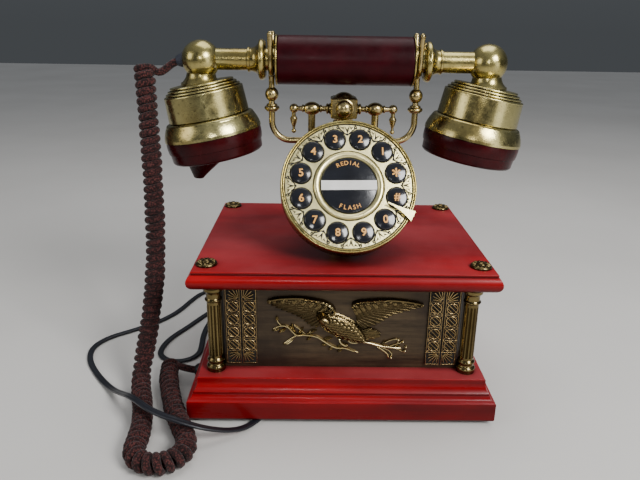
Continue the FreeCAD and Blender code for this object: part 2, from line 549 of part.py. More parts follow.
def make_cradle():
    hub_z0 = PEDESTAL_TOP + CRADLE_GAP
    hub = turned((0, hub_z0), (8.2, hub_z0), ((9.2, hub_z0 + 1.6), (8.0, hub_z0 + 3.2)),
                 (6.2, hub_z0 + 4.0), (6.0, CUBE_Z0 - 5.5), (7.0, CUBE_Z0 - 4.6),
                 ((7.8, CUBE_Z0 - 3.4), (7.0, CUBE_Z0 - 2.2)), (7.6, CUBE_Z0 - 0.5), (7.6, CUBE_Z0 + 1),
                 (0, CUBE_Z0 + 1))
    c = CUBE_HALF
    cube = box(-c, c, -c, c, CUBE_Z0, CUBE_Z1)
    cube = cube.makeChamfer(0.7, cube.Edges)
    rims = []
    for half, zz in ((c - 1.0, CUBE_Z1 - 0.1), (c - 2.2, CUBE_Z1 + 0.7)):
        rims.append(Part.Wire(Part.makePolygon([V(sx * half, sy * half, zz) for sx, sy in (
            (-1, -1), (1, -1), (1, 1), (-1, 1), (-1, -1))])))
    lid = Part.makeLoft(rims, True, True)
    dome = Part.makeSphere(9.5, V(0, 0, CUBE_APEX_Z - 9.5)).common(
        box(-c + 2.3, c - 2.3, -c + 2.3, c - 2.3, CUBE_Z1 + 0.5, CUBE_APEX_Z + 1))
    boss = turned((0, 0), (6.9, 0), (6.9, 0.8), (6.3, 1.1), (4.2,))
    bosses = [placed(boss, V(0, s * (c - 0.1), (CUBE_Z0 + CUBE_Z1) / 2), along(V(0, s, 0)))
              for s in (-1, 1)]
    yoke_hole = rod(V(-20, 0, YOKE_Z), V(20, 0, YOKE_Z), YOKE_R)
    node("cradle_hub", hub.fuse([cube, lid, dome] + bosses).cut(yoke_hole).removeSplitter())

    # One baluster arm, from the block's face to its ball end, with a drop finial and a post.
    arm = turned((0, 0), (4.2, 0), (4.2, 1.0), (2.6, 1.5), ((3.9, 2.4), (2.6, 3.3)), (2.0, 4.0),
                 (2.0, 6.6), ((2.9, 7.2), (2.2, 8.0)), ((5.0, 13.9), (2.2, 19.8)),
                 ((2.9, 20.5), (2.0, 21.3)), (1.7, 24.2), (6.4,))
    drop = turned((0, 0), (1.5, 0), (1.5, -3.4), (2.0, -4.0), (2.9, -5.6), ((2.6, -6.8), (1.1, -11.4)),
                  (0.9, -13.2), (-3.2,))
    arms = []
    for s in (-1, 1):
        one = placed(arm, V(s * CUBE_HALF, 0, BAR_Z), along(V(s, 0, 0)))
        finial = placed(drop, V(s * BAR_END_X, 0, BAR_Z - 2.0))
        post = cyl(POST_R, YOKE_Z + YOKE_R - 0.4, BAR_Z - 3.0, s * POST_X, 0)
        foot = turned((0, 0), (3.4, 0), ((3.6, 1.2), (2.6, 2.4)), (0, 2.4))
        feet = placed(foot, V(s * POST_X, 0, YOKE_Z + YOKE_R - 0.4))
        arms.append(one.fuse([finial, post, feet]).removeSplitter())

    x, z, b = FORK_X, YOKE_Z, YOKE_BEND
    diag = b * (1 - math.sqrt(0.5))
    route = Part.Wire(path(
        V(-x, 0, 210), V(-x, 0, z + b), (V(-x + diag, 0, z + diag), V(-x + b, 0, z)),
        V(x - b, 0, z), (V(x - diag, 0, z + diag), V(x, 0, z + b)), V(x, 0, 210)))
    ring = Part.Wire(Part.makeCircle(YOKE_R, V(-x, 0, 210), V(0, 0, 1)))
    yoke = route.makePipeShell([ring], True, True)
    node("cradle_yoke", yoke)
    node("cradle_bar", group([a.cut(yoke) for a in arms]))

    # A fork: ring collars and a ball on the yoke's end, then a U of two prongs for the spindle.
    stem = turned((0, 210), (3.2, 210), ((4.2, 210.6), (3.0, 211.2)), ((5.6, 212.4), (3.0, 213.6)),
                  ((4.0, 214.4), (2.4, 215.2)), (2.1, 217.4), ((5.0, 222.3), (2.1, 227.2)),
                  (2.0, FORK_NECK_Z), (2.4, HANDSET_Z - 10.6), (0, HANDSET_Z - 10.6))
    r = FORK_ROD_R
    bend = SPINDLE_R + 0.45 + r
    zc = HANDSET_Z
    prong_top, tip_y = 263.6, 13.4
    u_path = Part.Wire(path(V(0, -tip_y, prong_top), V(0, -bend, zc + 4), V(0, -bend, zc),
                            (V(0, 0, zc - bend), V(0, bend, zc)), V(0, bend, zc + 4),
                            V(0, tip_y, prong_top)))
    ring = Part.Wire(Part.makeCircle(r, V(0, -tip_y, prong_top),
                                     V(0, tip_y - bend, zc + 4 - prong_top)))
    fork = u_path.makePipeShell([ring], True, False, 2)
    fork = stem.fuse([fork] + [Part.makeSphere(2.1, V(0, s * (tip_y + 0.2), prong_top + 0.6))
                               for s in (-1, 1)])
    node("cradle_forks", group([placed(fork, V(s * FORK_X, 0, 0)) for s in (-1, 1)]))
    node("plunger_rod", cyl(PLUNGER_R, PLUNGER_END_Z, hub_z0))


# ---- handset ------------------------------------------------------------------------------------
def cup_frame(side):
    """Placement of a cup: Z runs from beside the ball's centre down the cup's tilted axis."""
    a = math.radians(CUP_TILT)
    axis = V(-side * math.sin(a), 0, -math.cos(a))
    return V(side * CUP_X, 0, HANDSET_Z + CUP_RISE), along(axis)


def make_handset():
    h, zc = GRIP_HALF, HANDSET_Z
    grip = turned((13.2, -h), (GRIP_R - 0.9, -h), ((GRIP_R - 0.25, -h + 0.3), (GRIP_R, -h + 1.2)),
                  (GRIP_R, h - 1.2), ((GRIP_R - 0.25, h - 0.3), (GRIP_R - 0.9, h)), (13.2, h))
    node("handset_grip", across(grip, 0, zc))

    arm = turned((TUBE_BORE_R, h - 20), (13.1, h - 20), (13.1, h + 0.1), (GRIP_R + 0.3, h + 0.1),
                 ((GRIP_R + 0.6, h + 0.8), (GRIP_R - 0.4, h + 1.4)), (11.0, h + 1.5),
                 ((10.2, h + 1.9), (8.6, h + 2.2)), (SPINDLE_R, h + 2.4),
                 (SPINDLE_R, h + 8.4), (10.4, h + 8.8), ((13.4, h + 9.6), (14.3, h + 11.6)),
                 ((14.0, h + 13.0), (12.6, h + 13.6)), ((9.2, h + 16.2), (8.2, h + 19.8)),
                 (8.9, h + 20.2), (8.9, h + 21.4), (TUBE_R, h + 21.9), (TUBE_R, BALL_X - 4),
                 (TUBE_BORE_R, BALL_X - 4))
    neck = turned((0, 2.0), (10.4, 2.0), (10.4, 9.8), ((11.7, 13.8), (14.6, 17.0)), (14.6, 22.0),
                  (0, 22.0))
    for side, name in ((-1, "mouth_arm"), (1, "ear_arm")):
        origin, turn = cup_frame(side)
        ball_c = V(side * BALL_X, 0, zc - BALL_DROP)
        cup_c = origin + turn.multVec(V(0, 0, CUP_TOP))
        one = placed(arm, V(0, 0, zc), along(V(side, 0, 0)))
        one = one.fuse([Part.makeSphere(BALL_R, ball_c), placed(neck, ball_c, along(cup_c - ball_c))])
        one = one.cut(placed(cyl(40, CUP_TOP - 0.1, 60), origin, turn))
        one = one.cut(rod(V(side * (BALL_X - 6), 0, zc), ball_c, TUBE_BORE_R))
        one = one.cut(rod(ball_c, cup_c + (cup_c - ball_c) * 0.1, TUBE_BORE_R))
        node(name, one.removeSplitter())

    cup = turned((4.5, CUP_TOP), (22.6, CUP_TOP), ((23.6, 19.7), (22.8, 20.6)), (24.6, 20.8),
                 ((25.6, 21.7), (24.8, 22.6)), (26.4, 22.8), ((27.5, 23.6), (26.8, 24.4)),
                 (28.2, 24.6), ((28.9, 24.9), (29.1, 25.8)), (29.9, 43.0), (29.5, 43.6),
                 (31.0, 43.9), ((32.2, 44.6), (33.0, 46.0)), ((34.9, 50.0), (36.2, 54.4)),
                 (36.3, 56.3), (34.2, 56.3), (34.2, 55.0), (31.0, 46.6), (27.6, 44.6),
                 (27.0, 26.6), (4.5, 24.8))
    skirt = [(31.2, 56.6), (35.7, 56.6), ((35.9, 59.8), (35.3, 65.2)), (34.7, 65.5), (34.6, 66.1),
             (34.2, 70.6)]
    ear_cap = turned(*skirt, ((33.6, 72.6), (31.8, 73.4)), ((29.6, 73.6), (28.0, 72.8)),
                     (-2.8,), (0, 67.6), (31.2, 67.6))
    holes = [(0.0, 0.0)] + [polar(6.5, 60 * k + 30) for k in range(6)]
    holes += [polar(12.5, 30 * k + 15) for k in range(12)]
    for x, y in holes:
        ear_cap = ear_cap.cut(cyl(1.2, 60, 78, x, y))
    mouth_cap = turned(*skirt, ((33.6, 72.5), (31.8, 73.3)), (0, 73.3), (0, 70.1), (31.2, 70.1))

    def horn(inset):
        """Offset funnel on the mouth cap, its bell towards the cap's rim."""
        stations = [(10.6, 72.6, 14.8), (13.8, 77.6, 11.0), (16.6, 82.6, 7.2), (19.0, 87.6, 3.6)]
        wires = [Part.Wire(Part.makeCircle(r - inset, V(x, 0, s), V(0.28, 0, 1)))
                 for x, s, r in stations]
        return Part.makeLoft(wires, True, False)

    mouth_cap = mouth_cap.fuse(horn(0.0)).cut(horn(1.7))
    mouth_cap = mouth_cap.cut(Part.makeCylinder(1.9, 9, V(17.6, 0, 82.6), V(0.28, 0, 1)))
    capsule = turned((0, 49.0), (27.5, 49.0), (27.5, 57.0), (24.0, 60.0), (0, 60.0))

    for side, word in ((-1, "mouth"), (1, "ear")):
        origin, turn = cup_frame(side)
        cap = mouth_cap if side < 0 else ear_cap
        # Each cup is turned about its own axis so that its local +X faces away from the grip.
        spin = 0 if turn.multVec(V(1, 0, 0)).x * side > 0 else 180
        turn = turn.multiply(FreeCAD.Rotation(V(0, 0, 1), spin))
        node(f"{word}_cup", placed(cup, origin, turn))
        node(f"{word}_cap", placed(cap, origin, turn))
        name = "microphone" if side < 0 else "receiver"
        node(name, placed(capsule, origin, turn))

    gland = turned((2.9, 0), (2.9, -8), (0, -8), (0, 5.2), (3.2, 5.2), ((4.4, 3.0), (5.2, 0.6)),
                   (5.2, 0))
    lead_way = V(-0.98, -0.05, -0.17)
    lead_way.normalize()
    node("handset_gland", placed(gland, GLAND_SEAT, along(lead_way)))
    arm = NODES["mouth_arm"].cut(rod(GLAND_SEAT - lead_way * 9, GLAND_SEAT + lead_way, 2.95))
    node("mouth_arm", arm.cut(rod(GLAND_SEAT, GLAND_SEAT + lead_way * 3, 5.25)))


# ---- cords --------------------------------------------------------------------------------------
def make_cords():
    fat = tube(COIL_ROUTE, COIL_R, "handset_cord")
    lead = tube(BASE_LEAD, WIRE_R, "base lead")
    node("handset_cord", group([fat, lead.cut(fat)]))
    node("handset_cord_lead", tube(HANDSET_LEAD, WIRE_R, "handset lead").cut(fat))
    node("line_cord", group([flat_tube(LINE_ROUTE, FLAT_W, FLAT_T, "line_cord"),
                             flat_tube(PLUG_LEAD, FLAT_W, FLAT_T, "plug lead")]))
    coil = turned((COIL_IN_R + 2, 0.1), (COIL_OUT_R - 2, 0.1),
                  ((COIL_OUT_R, 2.4), (COIL_OUT_R - 2, COIL_H)), (COIL_IN_R + 2, COIL_H),
                  ((COIL_IN_R, 2.4), (COIL_IN_R + 2, 0.1)))
    node("line_cord_coil", placed(coil, COIL_C))
    body = box(-7, 7, -4.8, 4.8, 0.1, 6.7)
    body = body.makeChamfer(0.6, body.Edges)
    latch = box(-6.5, 5, -1.6, 1.6, 6.9, 7.9).fuse(box(4.0, 5.6, -1.6, 1.6, 6.0, 7.9))
    node("line_plug", placed(body.fuse(latch), PLUG_C))


make_plinth()
make_body()
make_eagle()
make_columns()
make_top()
make_electronics()
make_dial()
make_pedestal()
make_cradle()
make_handset()
make_cords()

os.makedirs("parts", exist_ok=True)
for name, shape in NODES.items():
    shape.exportStep(f"parts/{name}.step")
print(len(NODES), "nodes")
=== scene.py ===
import math

import bmesh
import bpy
from mathutils import Matrix, Vector


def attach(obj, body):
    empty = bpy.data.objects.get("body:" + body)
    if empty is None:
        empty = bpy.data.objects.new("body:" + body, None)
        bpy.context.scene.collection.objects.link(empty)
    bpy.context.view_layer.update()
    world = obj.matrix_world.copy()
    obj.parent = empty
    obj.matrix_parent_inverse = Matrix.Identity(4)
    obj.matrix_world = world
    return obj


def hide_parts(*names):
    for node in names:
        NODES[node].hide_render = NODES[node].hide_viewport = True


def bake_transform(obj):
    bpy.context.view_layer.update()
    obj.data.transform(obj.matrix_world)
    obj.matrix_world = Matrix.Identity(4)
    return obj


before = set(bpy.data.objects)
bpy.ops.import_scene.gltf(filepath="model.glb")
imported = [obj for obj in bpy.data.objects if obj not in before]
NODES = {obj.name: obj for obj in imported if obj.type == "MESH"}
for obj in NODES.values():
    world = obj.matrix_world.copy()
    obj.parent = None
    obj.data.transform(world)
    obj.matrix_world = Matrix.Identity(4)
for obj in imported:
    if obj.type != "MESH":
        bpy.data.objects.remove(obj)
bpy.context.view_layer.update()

MM = 0.001

# ---- the part's own measures, in millimetres and degrees -----------------------------------------
PANEL_FRONT, PANEL_SIDE = 68.0, 87.0
STRIP_T, STRIP_LOW, STRIP_HIGH = 1.4, 37.6, 98.0
STRIP_INNER, STRIP_OUTER = 61.1, 82.9
SIDE_STRIP_INNER, SIDE_STRIP_OUTER = 39.6, 61.4
COLUMN_X, COLUMN_Y = 90.8, 70.8
FLUTE_BOTTOM, FLUTE_TOP = 4.57, 4.81
SLAB_TOP = 114.8
ROSETTE_X, ROSETTE_FRONT, ROSETTE_REAR, ROSETTE_PETAL_Z = 94.6, -69.5, 73.5, 2.05
SCREW_X, SCREW_Y, SCREW_HEAD_Z = 93.0, 74.0, 1.9
DIAL_YAW_DEG, DIAL_TILT_DEG = 3.8, 60.0
DIAL_PLACE = (0.0, -46.0, 165.4)
PLUG_Y, CONTACT_PITCH = 132.0, 1.16
SHARP_DEG = 32


def polar(r, deg):
    return r * math.cos(math.radians(deg)), r * math.sin(math.radians(deg))


# ---- camera --------------------------------------------------------------------------------------
def make_camera():
    place, pitch, yaw, roll = Vector((-0.0218, -0.4531, 0.2689)), 0.33989, 0.01279, 0.01569
    ahead = Vector((math.sin(yaw) * math.cos(pitch), math.cos(yaw) * math.cos(pitch), -math.sin(pitch)))
    level = Vector((math.cos(yaw), -math.sin(yaw), 0))
    upright = level.cross(ahead)
    right = level * math.cos(roll) + upright * math.sin(roll)
    up = upright * math.cos(roll) - level * math.sin(roll)
    data = bpy.data.cameras.new("camera")
    data.sensor_width, data.lens = 36.0, 33.75
    data.clip_start = 0.01
    cam = bpy.data.objects.new("camera", data)
    cam.matrix_world = Matrix.Translation(place) @ Matrix((right, up, -ahead)).transposed().to_4x4()
    bpy.context.scene.collection.objects.link(cam)
    bpy.context.scene.camera = cam


# ---- materials -----------------------------------------------------------------------------------
class Paint:
    """A material and the nodes that colour it, in the part's own coordinates in metres."""

    def __init__(self, name, base, metallic=0.0, rough=0.5, coat=0.0, coat_rough=0.05):
        self.mat = bpy.data.materials.new(name)
        self.mat.use_nodes = True
        self.tree = self.mat.node_tree
        self.shader = self.tree.nodes["Principled BSDF"]
        self.place = self.tree.nodes.new("ShaderNodeTexCoord").outputs["Object"]
        values = {"Base Color": (*base, 1.0), "Metallic": metallic, "Roughness": rough,
                  "Coat Weight": coat, "Coat Roughness": coat_rough}
        for key, value in values.items():
            self.shader.inputs[key].default_value = value

    def add(self, kind, output, **settings):
        n = self.tree.nodes.new(kind)
        for key, value in settings.items():
            if hasattr(n, key):
                setattr(n, key, value)
            else:
                self.plug(n.inputs[key.replace("_", " ").title()], value)
        return n.outputs[output]

    def plug(self, socket, value):
        if isinstance(value, bpy.types.NodeSocket):
            self.tree.links.new(value, socket)
        else:
            socket.default_value = value

    def stretched(self, stretch):
        return self.add("ShaderNodeMapping", "Vector", Vector=self.place, Scale=stretch)

    def noise(self, scale, detail=4.0, rough=0.55, stretch=None):
        where = self.stretched(stretch) if stretch else self.place
        return self.add("ShaderNodeTexNoise", "Fac", Vector=where, Scale=scale, Detail=detail,
                        Roughness=rough)

    def cells(self, scale, stretch=None):
        where = self.stretched(stretch) if stretch else self.place
        return self.add("ShaderNodeTexVoronoi", "Distance", Vector=where, Scale=scale)

    def ramp(self, factor, *stops):
        n = self.tree.nodes.new("ShaderNodeValToRGB")
        elements = n.color_ramp.elements
        while len(elements) < len(stops):
            elements.new(0.5)
        for e, (at, colour) in zip(elements, stops):
            e.position = at
            e.color = (*colour, 1.0) if isinstance(colour, tuple) else (colour, colour, colour, 1.0)
        self.plug(n.inputs["Fac"], factor)
        return n.outputs["Color"]

    def mix(self, factor, a, b, blend_type="MIX"):
        n = self.tree.nodes.new("ShaderNodeMix")
        n.data_type, n.blend_type = "RGBA", blend_type
        for socket, value in zip((n.inputs[0], n.inputs[6], n.inputs[7]), (factor, a, b)):
            self.plug(socket, (*value, 1.0) if isinstance(value, tuple) else value)
        return n.outputs[2]

    def math(self, operation, a, b=0.0, clamp=False):
        n = self.tree.nodes.new("ShaderNodeMath")
        n.operation, n.use_clamp = operation, clamp
        self.plug(n.inputs[0], a)
        self.plug(n.inputs[1], b)
        return n.outputs[0]

    def hollow(self, reach):
        """1 in open places and towards 0 in creases up to that many metres deep."""
        return self.add("ShaderNodeAmbientOcclusion", "AO", samples=6, Distance=reach)

    def axis(self, name):
        return self.add("ShaderNodeSeparateXYZ", name, Vector=self.place)

    def set(self, **sockets):
        for key, value in sockets.items():
            self.plug(self.shader.inputs[key.replace("_", " ").title()], value)
        return self

    def bump(self, height, distance, strength=1.0, over=None):
        n = self.tree.nodes.new("ShaderNodeBump")
        self.plug(n.inputs["Height"], height)
        n.inputs["Distance"].default_value = distance
        n.inputs["Strength"].default_value = strength
        if over is not None:
            self.plug(n.inputs["Normal"], over)
        self.plug(self.shader.inputs["Normal"], n.outputs["Normal"])
        return n.outputs["Normal"]


def brass_paint(name, bright, dull, rough, crease=0.002, spots=0.5, bands=0.0):
    """Aged brass: cloudy tone, painted darker amber bands down its sides that stand for bands of reflection,
    dark specks and pits, and dark creases.
    """
    p = Paint(name, bright, 1.0, rough)
    cloud = p.noise(38, 5)
    tone = p.mix(p.ramp(cloud, (0.40, 0.0), (0.74, 0.85)), bright, dull)
    # Painted reflection: darker amber bands down the sides stand for bands of reflection.
    amber_reflection_bands = p.ramp(p.noise(34, 2, 0.4, (1.0, 1.0, 0.10)), (0.46, 0.0), (0.60, bands))
    tone = p.mix(amber_reflection_bands, tone, tuple(c * k for c, k in zip(bright, (0.52, 0.42, 0.28))))
    specks = p.ramp(p.noise(420, 3, 0.6), (0.60, 0.0), (0.70, 1.0))
    tone = p.mix(p.math("MULTIPLY", specks, spots), tone, tuple(c * 0.22 for c in dull))
    open_air = p.ramp(p.hollow(crease), (0.30, 0.0), (0.85, 1.0))
    tone = p.mix(open_air, tuple(c * 0.13 for c in dull), tone)
    grain = p.ramp(p.noise(150, 6, 0.7), (0.3, rough - 0.06), (0.75, rough + 0.10))
    p.set(Base_Color=tone, Roughness=grain)
    dents = p.bump(cloud, 0.0012, 0.12)
    p.bump(p.noise(900, 3, 0.6), 0.00012, 0.35, dents)
    return p


def column_paint():
    """Brass whose flutes keep a dark bottom."""
    p = brass_paint("column_brass", (0.17, 0.128, 0.052), (0.065, 0.045, 0.016), 0.18)
    tone = p.shader.inputs["Base Color"].links[0].from_socket
    off_x = p.math("SUBTRACT", p.math("ABSOLUTE", p.axis("X")), COLUMN_X * MM)
    off_y = p.math("SUBTRACT", p.math("ABSOLUTE", p.axis("Y")), COLUMN_Y * MM)
    away = p.math("SQRT", p.math("ADD", p.math("MULTIPLY", off_x, off_x),
                                 p.math("MULTIPLY", off_y, off_y)))
    flute = p.ramp(p.math("MULTIPLY", away, 100.0), (FLUTE_BOTTOM / 10, 0.0), (FLUTE_TOP / 10, 1.0))
    p.set(Base_Color=p.mix(flute, (0.035, 0.022, 0.008), tone))
    return p


def lacquer_paint():
    """Red gloss lacquer over wood: cloudy, with a painted pale sheen standing for reflection and dust specks
    on what faces up, rubbed roughness there, and painted shade low down, on down-facing faces, in creases
    and under the dial.
    """
    p = Paint("red_lacquer", (0.30, 0.002, 0.005), 0.0, 0.3, coat=0.05, coat_rough=0.10)
    p.shader.inputs["Specular IOR Level"].default_value = 0.17
    grain = p.noise(30, 6, 0.6, (0.25, 1.0, 1.0))
    tone = p.mix(p.ramp(grain, (0.33, 0.0), (0.72, 1.0)), (0.33, 0.0018, 0.005), (0.12, 0.001, 0.003))
    normal = p.tree.nodes.new("ShaderNodeNewGeometry").outputs["Normal"]
    up = p.add("ShaderNodeSeparateXYZ", "Z", Vector=normal)
    level = p.ramp(up, (0.86, 0.0), (0.99, 1.0))
    # Painted reflection: a pale pinkish sheen on faces that look up.
    top_sheen = p.math("MULTIPLY", level, p.ramp(p.noise(11, 4, 0.6), (0.35, 0.15), (0.70, 0.75)))
    tone = p.mix(top_sheen, tone, (0.36, 0.056, 0.062))
    # Painted shade: darker towards the bottom of the plinth, on faces that turn downwards, and in creases
    # and coves.
    lit = p.math("MULTIPLY", p.math("ADD", up, 1.0), 0.5)
    for shade in (p.ramp(p.math("MULTIPLY", p.axis("Z"), 10.0), (0.135, 0.75), (0.175, 1.0)),
                  p.ramp(lit, (0.15, 0.25), (0.50, 0.60), (0.66, 1.0)),
                  p.ramp(p.hollow(0.006), (0.35, 0.25), (0.90, 1.0))):
        tone = p.mix(1.0, tone, shade, "MULTIPLY")
    # On the top of the slab, painted shadow makes the ground under the dial and the stand darker.
    slab = p.ramp(p.math("MULTIPLY", p.axis("Z"), 5.0), (0.565, 0.0), (0.572, 1.0))
    dial_shadow = p.ramp(p.hollow(0.055), (0.40, 0.22), (0.92, 1.0))
    tone = p.mix(slab, tone, p.mix(1.0, tone, dial_shadow, "MULTIPLY"))
    dust = p.math("MULTIPLY", level, p.ramp(p.cells(620), (0.0, 0.55), (0.10, 0.0)))
    tone = p.mix(dust, tone, (0.55, 0.42, 0.40))
    rub = p.ramp(p.noise(55, 6, 0.7, (0.15, 1.0, 1.0)), (0.3, 0.22), (0.7, 0.40))
    p.set(Base_Color=tone, Roughness=p.mix(level, rub, p.ramp(p.noise(9, 4), (0.3, 0.30), (0.7, 0.50))))
    scratches = p.bump(p.noise(70, 8, 0.75, (0.10, 1.2, 1.0)), 0.0004, 0.12)
    p.bump(p.noise(14, 2, 0.5), 0.0014, 0.10, scratches)
    return p


def panel_paint():
    p = Paint("bronze_panel", (0.06, 0.042, 0.026), 0.75, 0.42)
    brushed = p.noise(60, 8, 0.7, (0.25, 0.25, 2.6))
    tone = p.mix(p.ramp(brushed, (0.35, 0.0), (0.70, 1.0)), (0.035, 0.025, 0.016), (0.115, 0.080, 0.045))
    blotch = p.ramp(p.noise(26, 5), (0.45, 0.0), (0.72, 0.8))
    p.set(Base_Color=p.mix(blotch, tone, (0.025, 0.018, 0.014)),
          Roughness=p.ramp(brushed, (0.3, 0.32), (0.7, 0.55)))
    p.bump(p.noise(240, 4, 0.7, (0.12, 0.12, 3.0)), 0.00015, 0.5)
    return p


def satin_paint(name, base, dark, rough, coat, scale=60, bump=0.00006, specular=0.32):
    p = Paint(name, base, 0.0, rough, coat=coat, coat_rough=rough * 0.5)
    p.shader.inputs["Specular IOR Level"].default_value = specular
    p.set(Base_Color=p.mix(p.ramp(p.noise(scale, 5), (0.35, 0.0), (0.7, 1.0)), base, dark),
          Roughness=p.ramp(p.noise(scale * 2.2, 5, 0.65), (0.3, rough * 0.8), (0.75, rough * 1.35)))
    p.bump(p.noise(scale * 12, 3), bump, 0.5)
    return p


def braid_paint():
    """Maroon textile: fine crossing threads and a few lighter fibres."""
    p = Paint("maroon_braid", (0.06, 0.016, 0.015), 0.0, 0.85)
    p.shader.inputs["Specular IOR Level"].default_value = 0.2
    threads = p.cells(850, stretch=(1.0, 1.0, 0.8))
    tone = p.mix(p.ramp(threads, (0.10, 0.0), (0.60, 1.0)), (0.105, 0.028, 0.025), (0.010, 0.003, 0.003))
    fibres = p.ramp(p.noise(700, 4, 0.7, (1.0, 1.0, 0.4)), (0.60, 0.0), (0.72, 0.55))
    wide = p.ramp(p.noise(40, 3), (0.35, 0.75), (0.7, 1.15))
    p.set(Base_Color=p.mix(1.0, p.mix(fibres, tone, (0.13, 0.050, 0.043)), wide, "MULTIPLY"))
    p.shader.inputs["Sheen Weight"].default_value = 0.08
    p.bump(threads, 0.0004, 0.9)
    return p


def make_paints():
    paints = {
        "brass": brass_paint("antique_brass", (0.50, 0.43, 0.17), (0.22, 0.165, 0.05), 0.24, bands=0.5),
        "cup": brass_paint("satin_brass", (0.60, 0.535, 0.24), (0.32, 0.25, 0.09), 0.23, 0.0015, 0.65, 0.6),
        "cradle": brass_paint("cradle_brass", (0.44, 0.35, 0.16), (0.20, 0.14, 0.05), 0.24),
        "face": brass_paint("dial_brass", (0.82, 0.73, 0.37), (0.60, 0.52, 0.24), 0.32, 0.0010, 0.3),
        "relief": brass_paint("relief_brass", (0.165, 0.122, 0.054), (0.055, 0.038, 0.015), 0.24, 0.0030),
        "sprig": brass_paint("sprig_brass", (0.56, 0.46, 0.24), (0.26, 0.19, 0.08), 0.22, 0.0010, 0.35),
        "feather": brass_paint("feather_brass", (0.075, 0.055, 0.025), (0.028, 0.020, 0.009), 0.30, 0.0030),
        "lattice": brass_paint("lattice_brass", (0.44, 0.32, 0.15), (0.20, 0.13, 0.055), 0.24, 0.0010, 0.3),
        "column": column_paint(),
        "lacquer": lacquer_paint(),
        "panel": panel_paint(),
        "grip": satin_paint("maroon_grip", (0.030, 0.0014, 0.0035), (0.015, 0.0008, 0.002), 0.34, 0.0,
                            specular=0.09),
        "cap": satin_paint("maroon_cap", (0.036, 0.0016, 0.0025), (0.015, 0.0008, 0.0015), 0.24, 0.0,
                           specular=0.14),
        "key": satin_paint("black_key", (0.008, 0.009, 0.013), (0.004, 0.004, 0.006), 0.16, 0.5),
        "plastic": satin_paint("black_plastic", (0.008, 0.008, 0.008), (0.004, 0.004, 0.004), 0.5, 0.0),
        "rubber": satin_paint("black_rubber", (0.016, 0.016, 0.017), (0.008, 0.008, 0.008), 0.72, 0.0),
        "cord": satin_paint("black_cord", (0.014, 0.015, 0.020), (0.008, 0.008, 0.011), 0.34, 0.1, 30),
        "gland": satin_paint("gland_rubber", (0.030, 0.034, 0.050), (0.014, 0.015, 0.022), 0.55, 0.0),
        "label": satin_paint("white_label", (0.72, 0.71, 0.68), (0.60, 0.58, 0.54), 0.34, 0.2),
        "clear": satin_paint("clear_plastic", (0.78, 0.80, 0.80), (0.70, 0.72, 0.72), 0.12, 0.2),
        "steel": satin_paint("zinc_steel", (0.52, 0.52, 0.50), (0.36, 0.36, 0.35), 0.34, 0.0, 90),
        "iron": satin_paint("cast_iron", (0.06, 0.06, 0.06), (0.03, 0.03, 0.03), 0.75, 0.0, 140, 0.0003),
        "board": satin_paint("circuit_board", (0.015, 0.10, 0.035), (0.01, 0.06, 0.02), 0.4, 0.2),
        "ink": satin_paint("dark_patina_and_slot_shade", (0.010, 0.008, 0.006), (0.004, 0.003, 0.002), 0.7, 0.0, 200),
        "gold_ink": satin_paint("gold_print", (0.78, 0.40, 0.10), (0.62, 0.28, 0.06), 0.42, 0.0, 200),
        "braid": braid_paint(),
    }
    paints["steel"].shader.inputs["Metallic"].default_value = 1.0
    paints["clear"].shader.inputs["Transmission Weight"].default_value = 0.6
    return {key: p.mat for key, p in paints.items()}


# ---- shapes ------------------------------------------------------------------------------------
def mesh_object(name, points, faces, material, body=None, crease_deg=None):
    mesh = bpy.data.meshes.new(name)
    mesh.from_pydata([tuple(p) for p in points], [], faces)
    mesh.materials.append(material)
    mesh.shade_smooth()
    if crease_deg:
        mesh.set_sharp_from_angle(angle=math.radians(crease_deg))
    obj = bpy.data.objects.new(name, mesh)
    bpy.context.scene.collection.objects.link(obj)
    if body:
        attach(obj, body)
    return obj


def line_of(points, name):
    """Points of the smooth line through a route in millimetres, read from its own NURBS curve."""
    data = bpy.data.curves.new(name, "CURVE")
    data.dimensions, data.resolution_u = "3D", 16
    spline = data.splines.new("NURBS")
    spline.points.add(len(points) - 1)
    for place, p in zip(spline.points, points):
        place.co = (p[0] * MM, p[1] * MM, p[2] * MM, 1.0)
    spline.order_u = 3
    spline.use_endpoint_u = True
    obj = bpy.data.objects.new(name, data)
    bpy.context.scene.collection.objects.link(obj)
    bpy.context.view_layer.update()
    mesh = bpy.data.meshes.new_from_object(obj)
    line = [v.co.copy() for v in mesh.vertices]
    bpy.data.objects.remove(obj)
    bpy.data.curves.remove(data)
    bpy.data.meshes.remove(mesh)
    return line


def length_of(line):
    return sum((b - a).length for a, b in zip(line, line[1:]))


def spaced(line, step):
    """The same line with points that far apart."""
    count = max(2, round(length_of(line) / step))
    each, out, gone, want = length_of(line) / count, [line[0].copy()], 0.0, 0.0
    for a, b in zip(line, line[1:]):
        run = (b - a).length
        while run > 0 and want + each <= gone + run + 1e-9 and len(out) < count:
            want += each
            out.append(a.lerp(b, (want - gone) / run))
        gone += run
    out.append(line[-1].copy())
    return out


def tangents(line):
    before, after = [line[0]] + line[:-1], line[1:] + [line[-1]]
    return [(b - a).normalized() for a, b in zip(before, after)]


def carried_frames(line):
    """A side and an up direction at each point, carried along without twist."""
    ways = tangents(line)
    side = ways[0].orthogonal().normalized()
    frames = []
    for way in ways:
        side = (side - way * side.dot(way)).normalized()
        frames.append((side, way.cross(side)))
    return frames


def level_frames(line):
    """As carried_frames, with the side direction kept level."""
    frames = []
    for way in tangents(line):
        side = way.cross(Vector((0, 0, 1))).normalized()
        frames.append((side, side.cross(way)))
    return frames


def sweep(name, line, frames, section, material):
    points, faces, n = [], [], len(section)
    for p, (side, up) in zip(line, frames):
        points += [p + side * (a * MM) + up * (b * MM) for a, b in section]
    for i in range(len(line) - 1):
        for k in range(n):
            j = (k + 1) % n
            faces.append((i * n + k, i * n + j, (i + 1) * n + j, (i + 1) * n + k))
    faces.append(tuple(reversed(range(n))))
    faces.append(tuple(range(len(points) - n, len(points))))
    return mesh_object(name, points, faces, material, None)


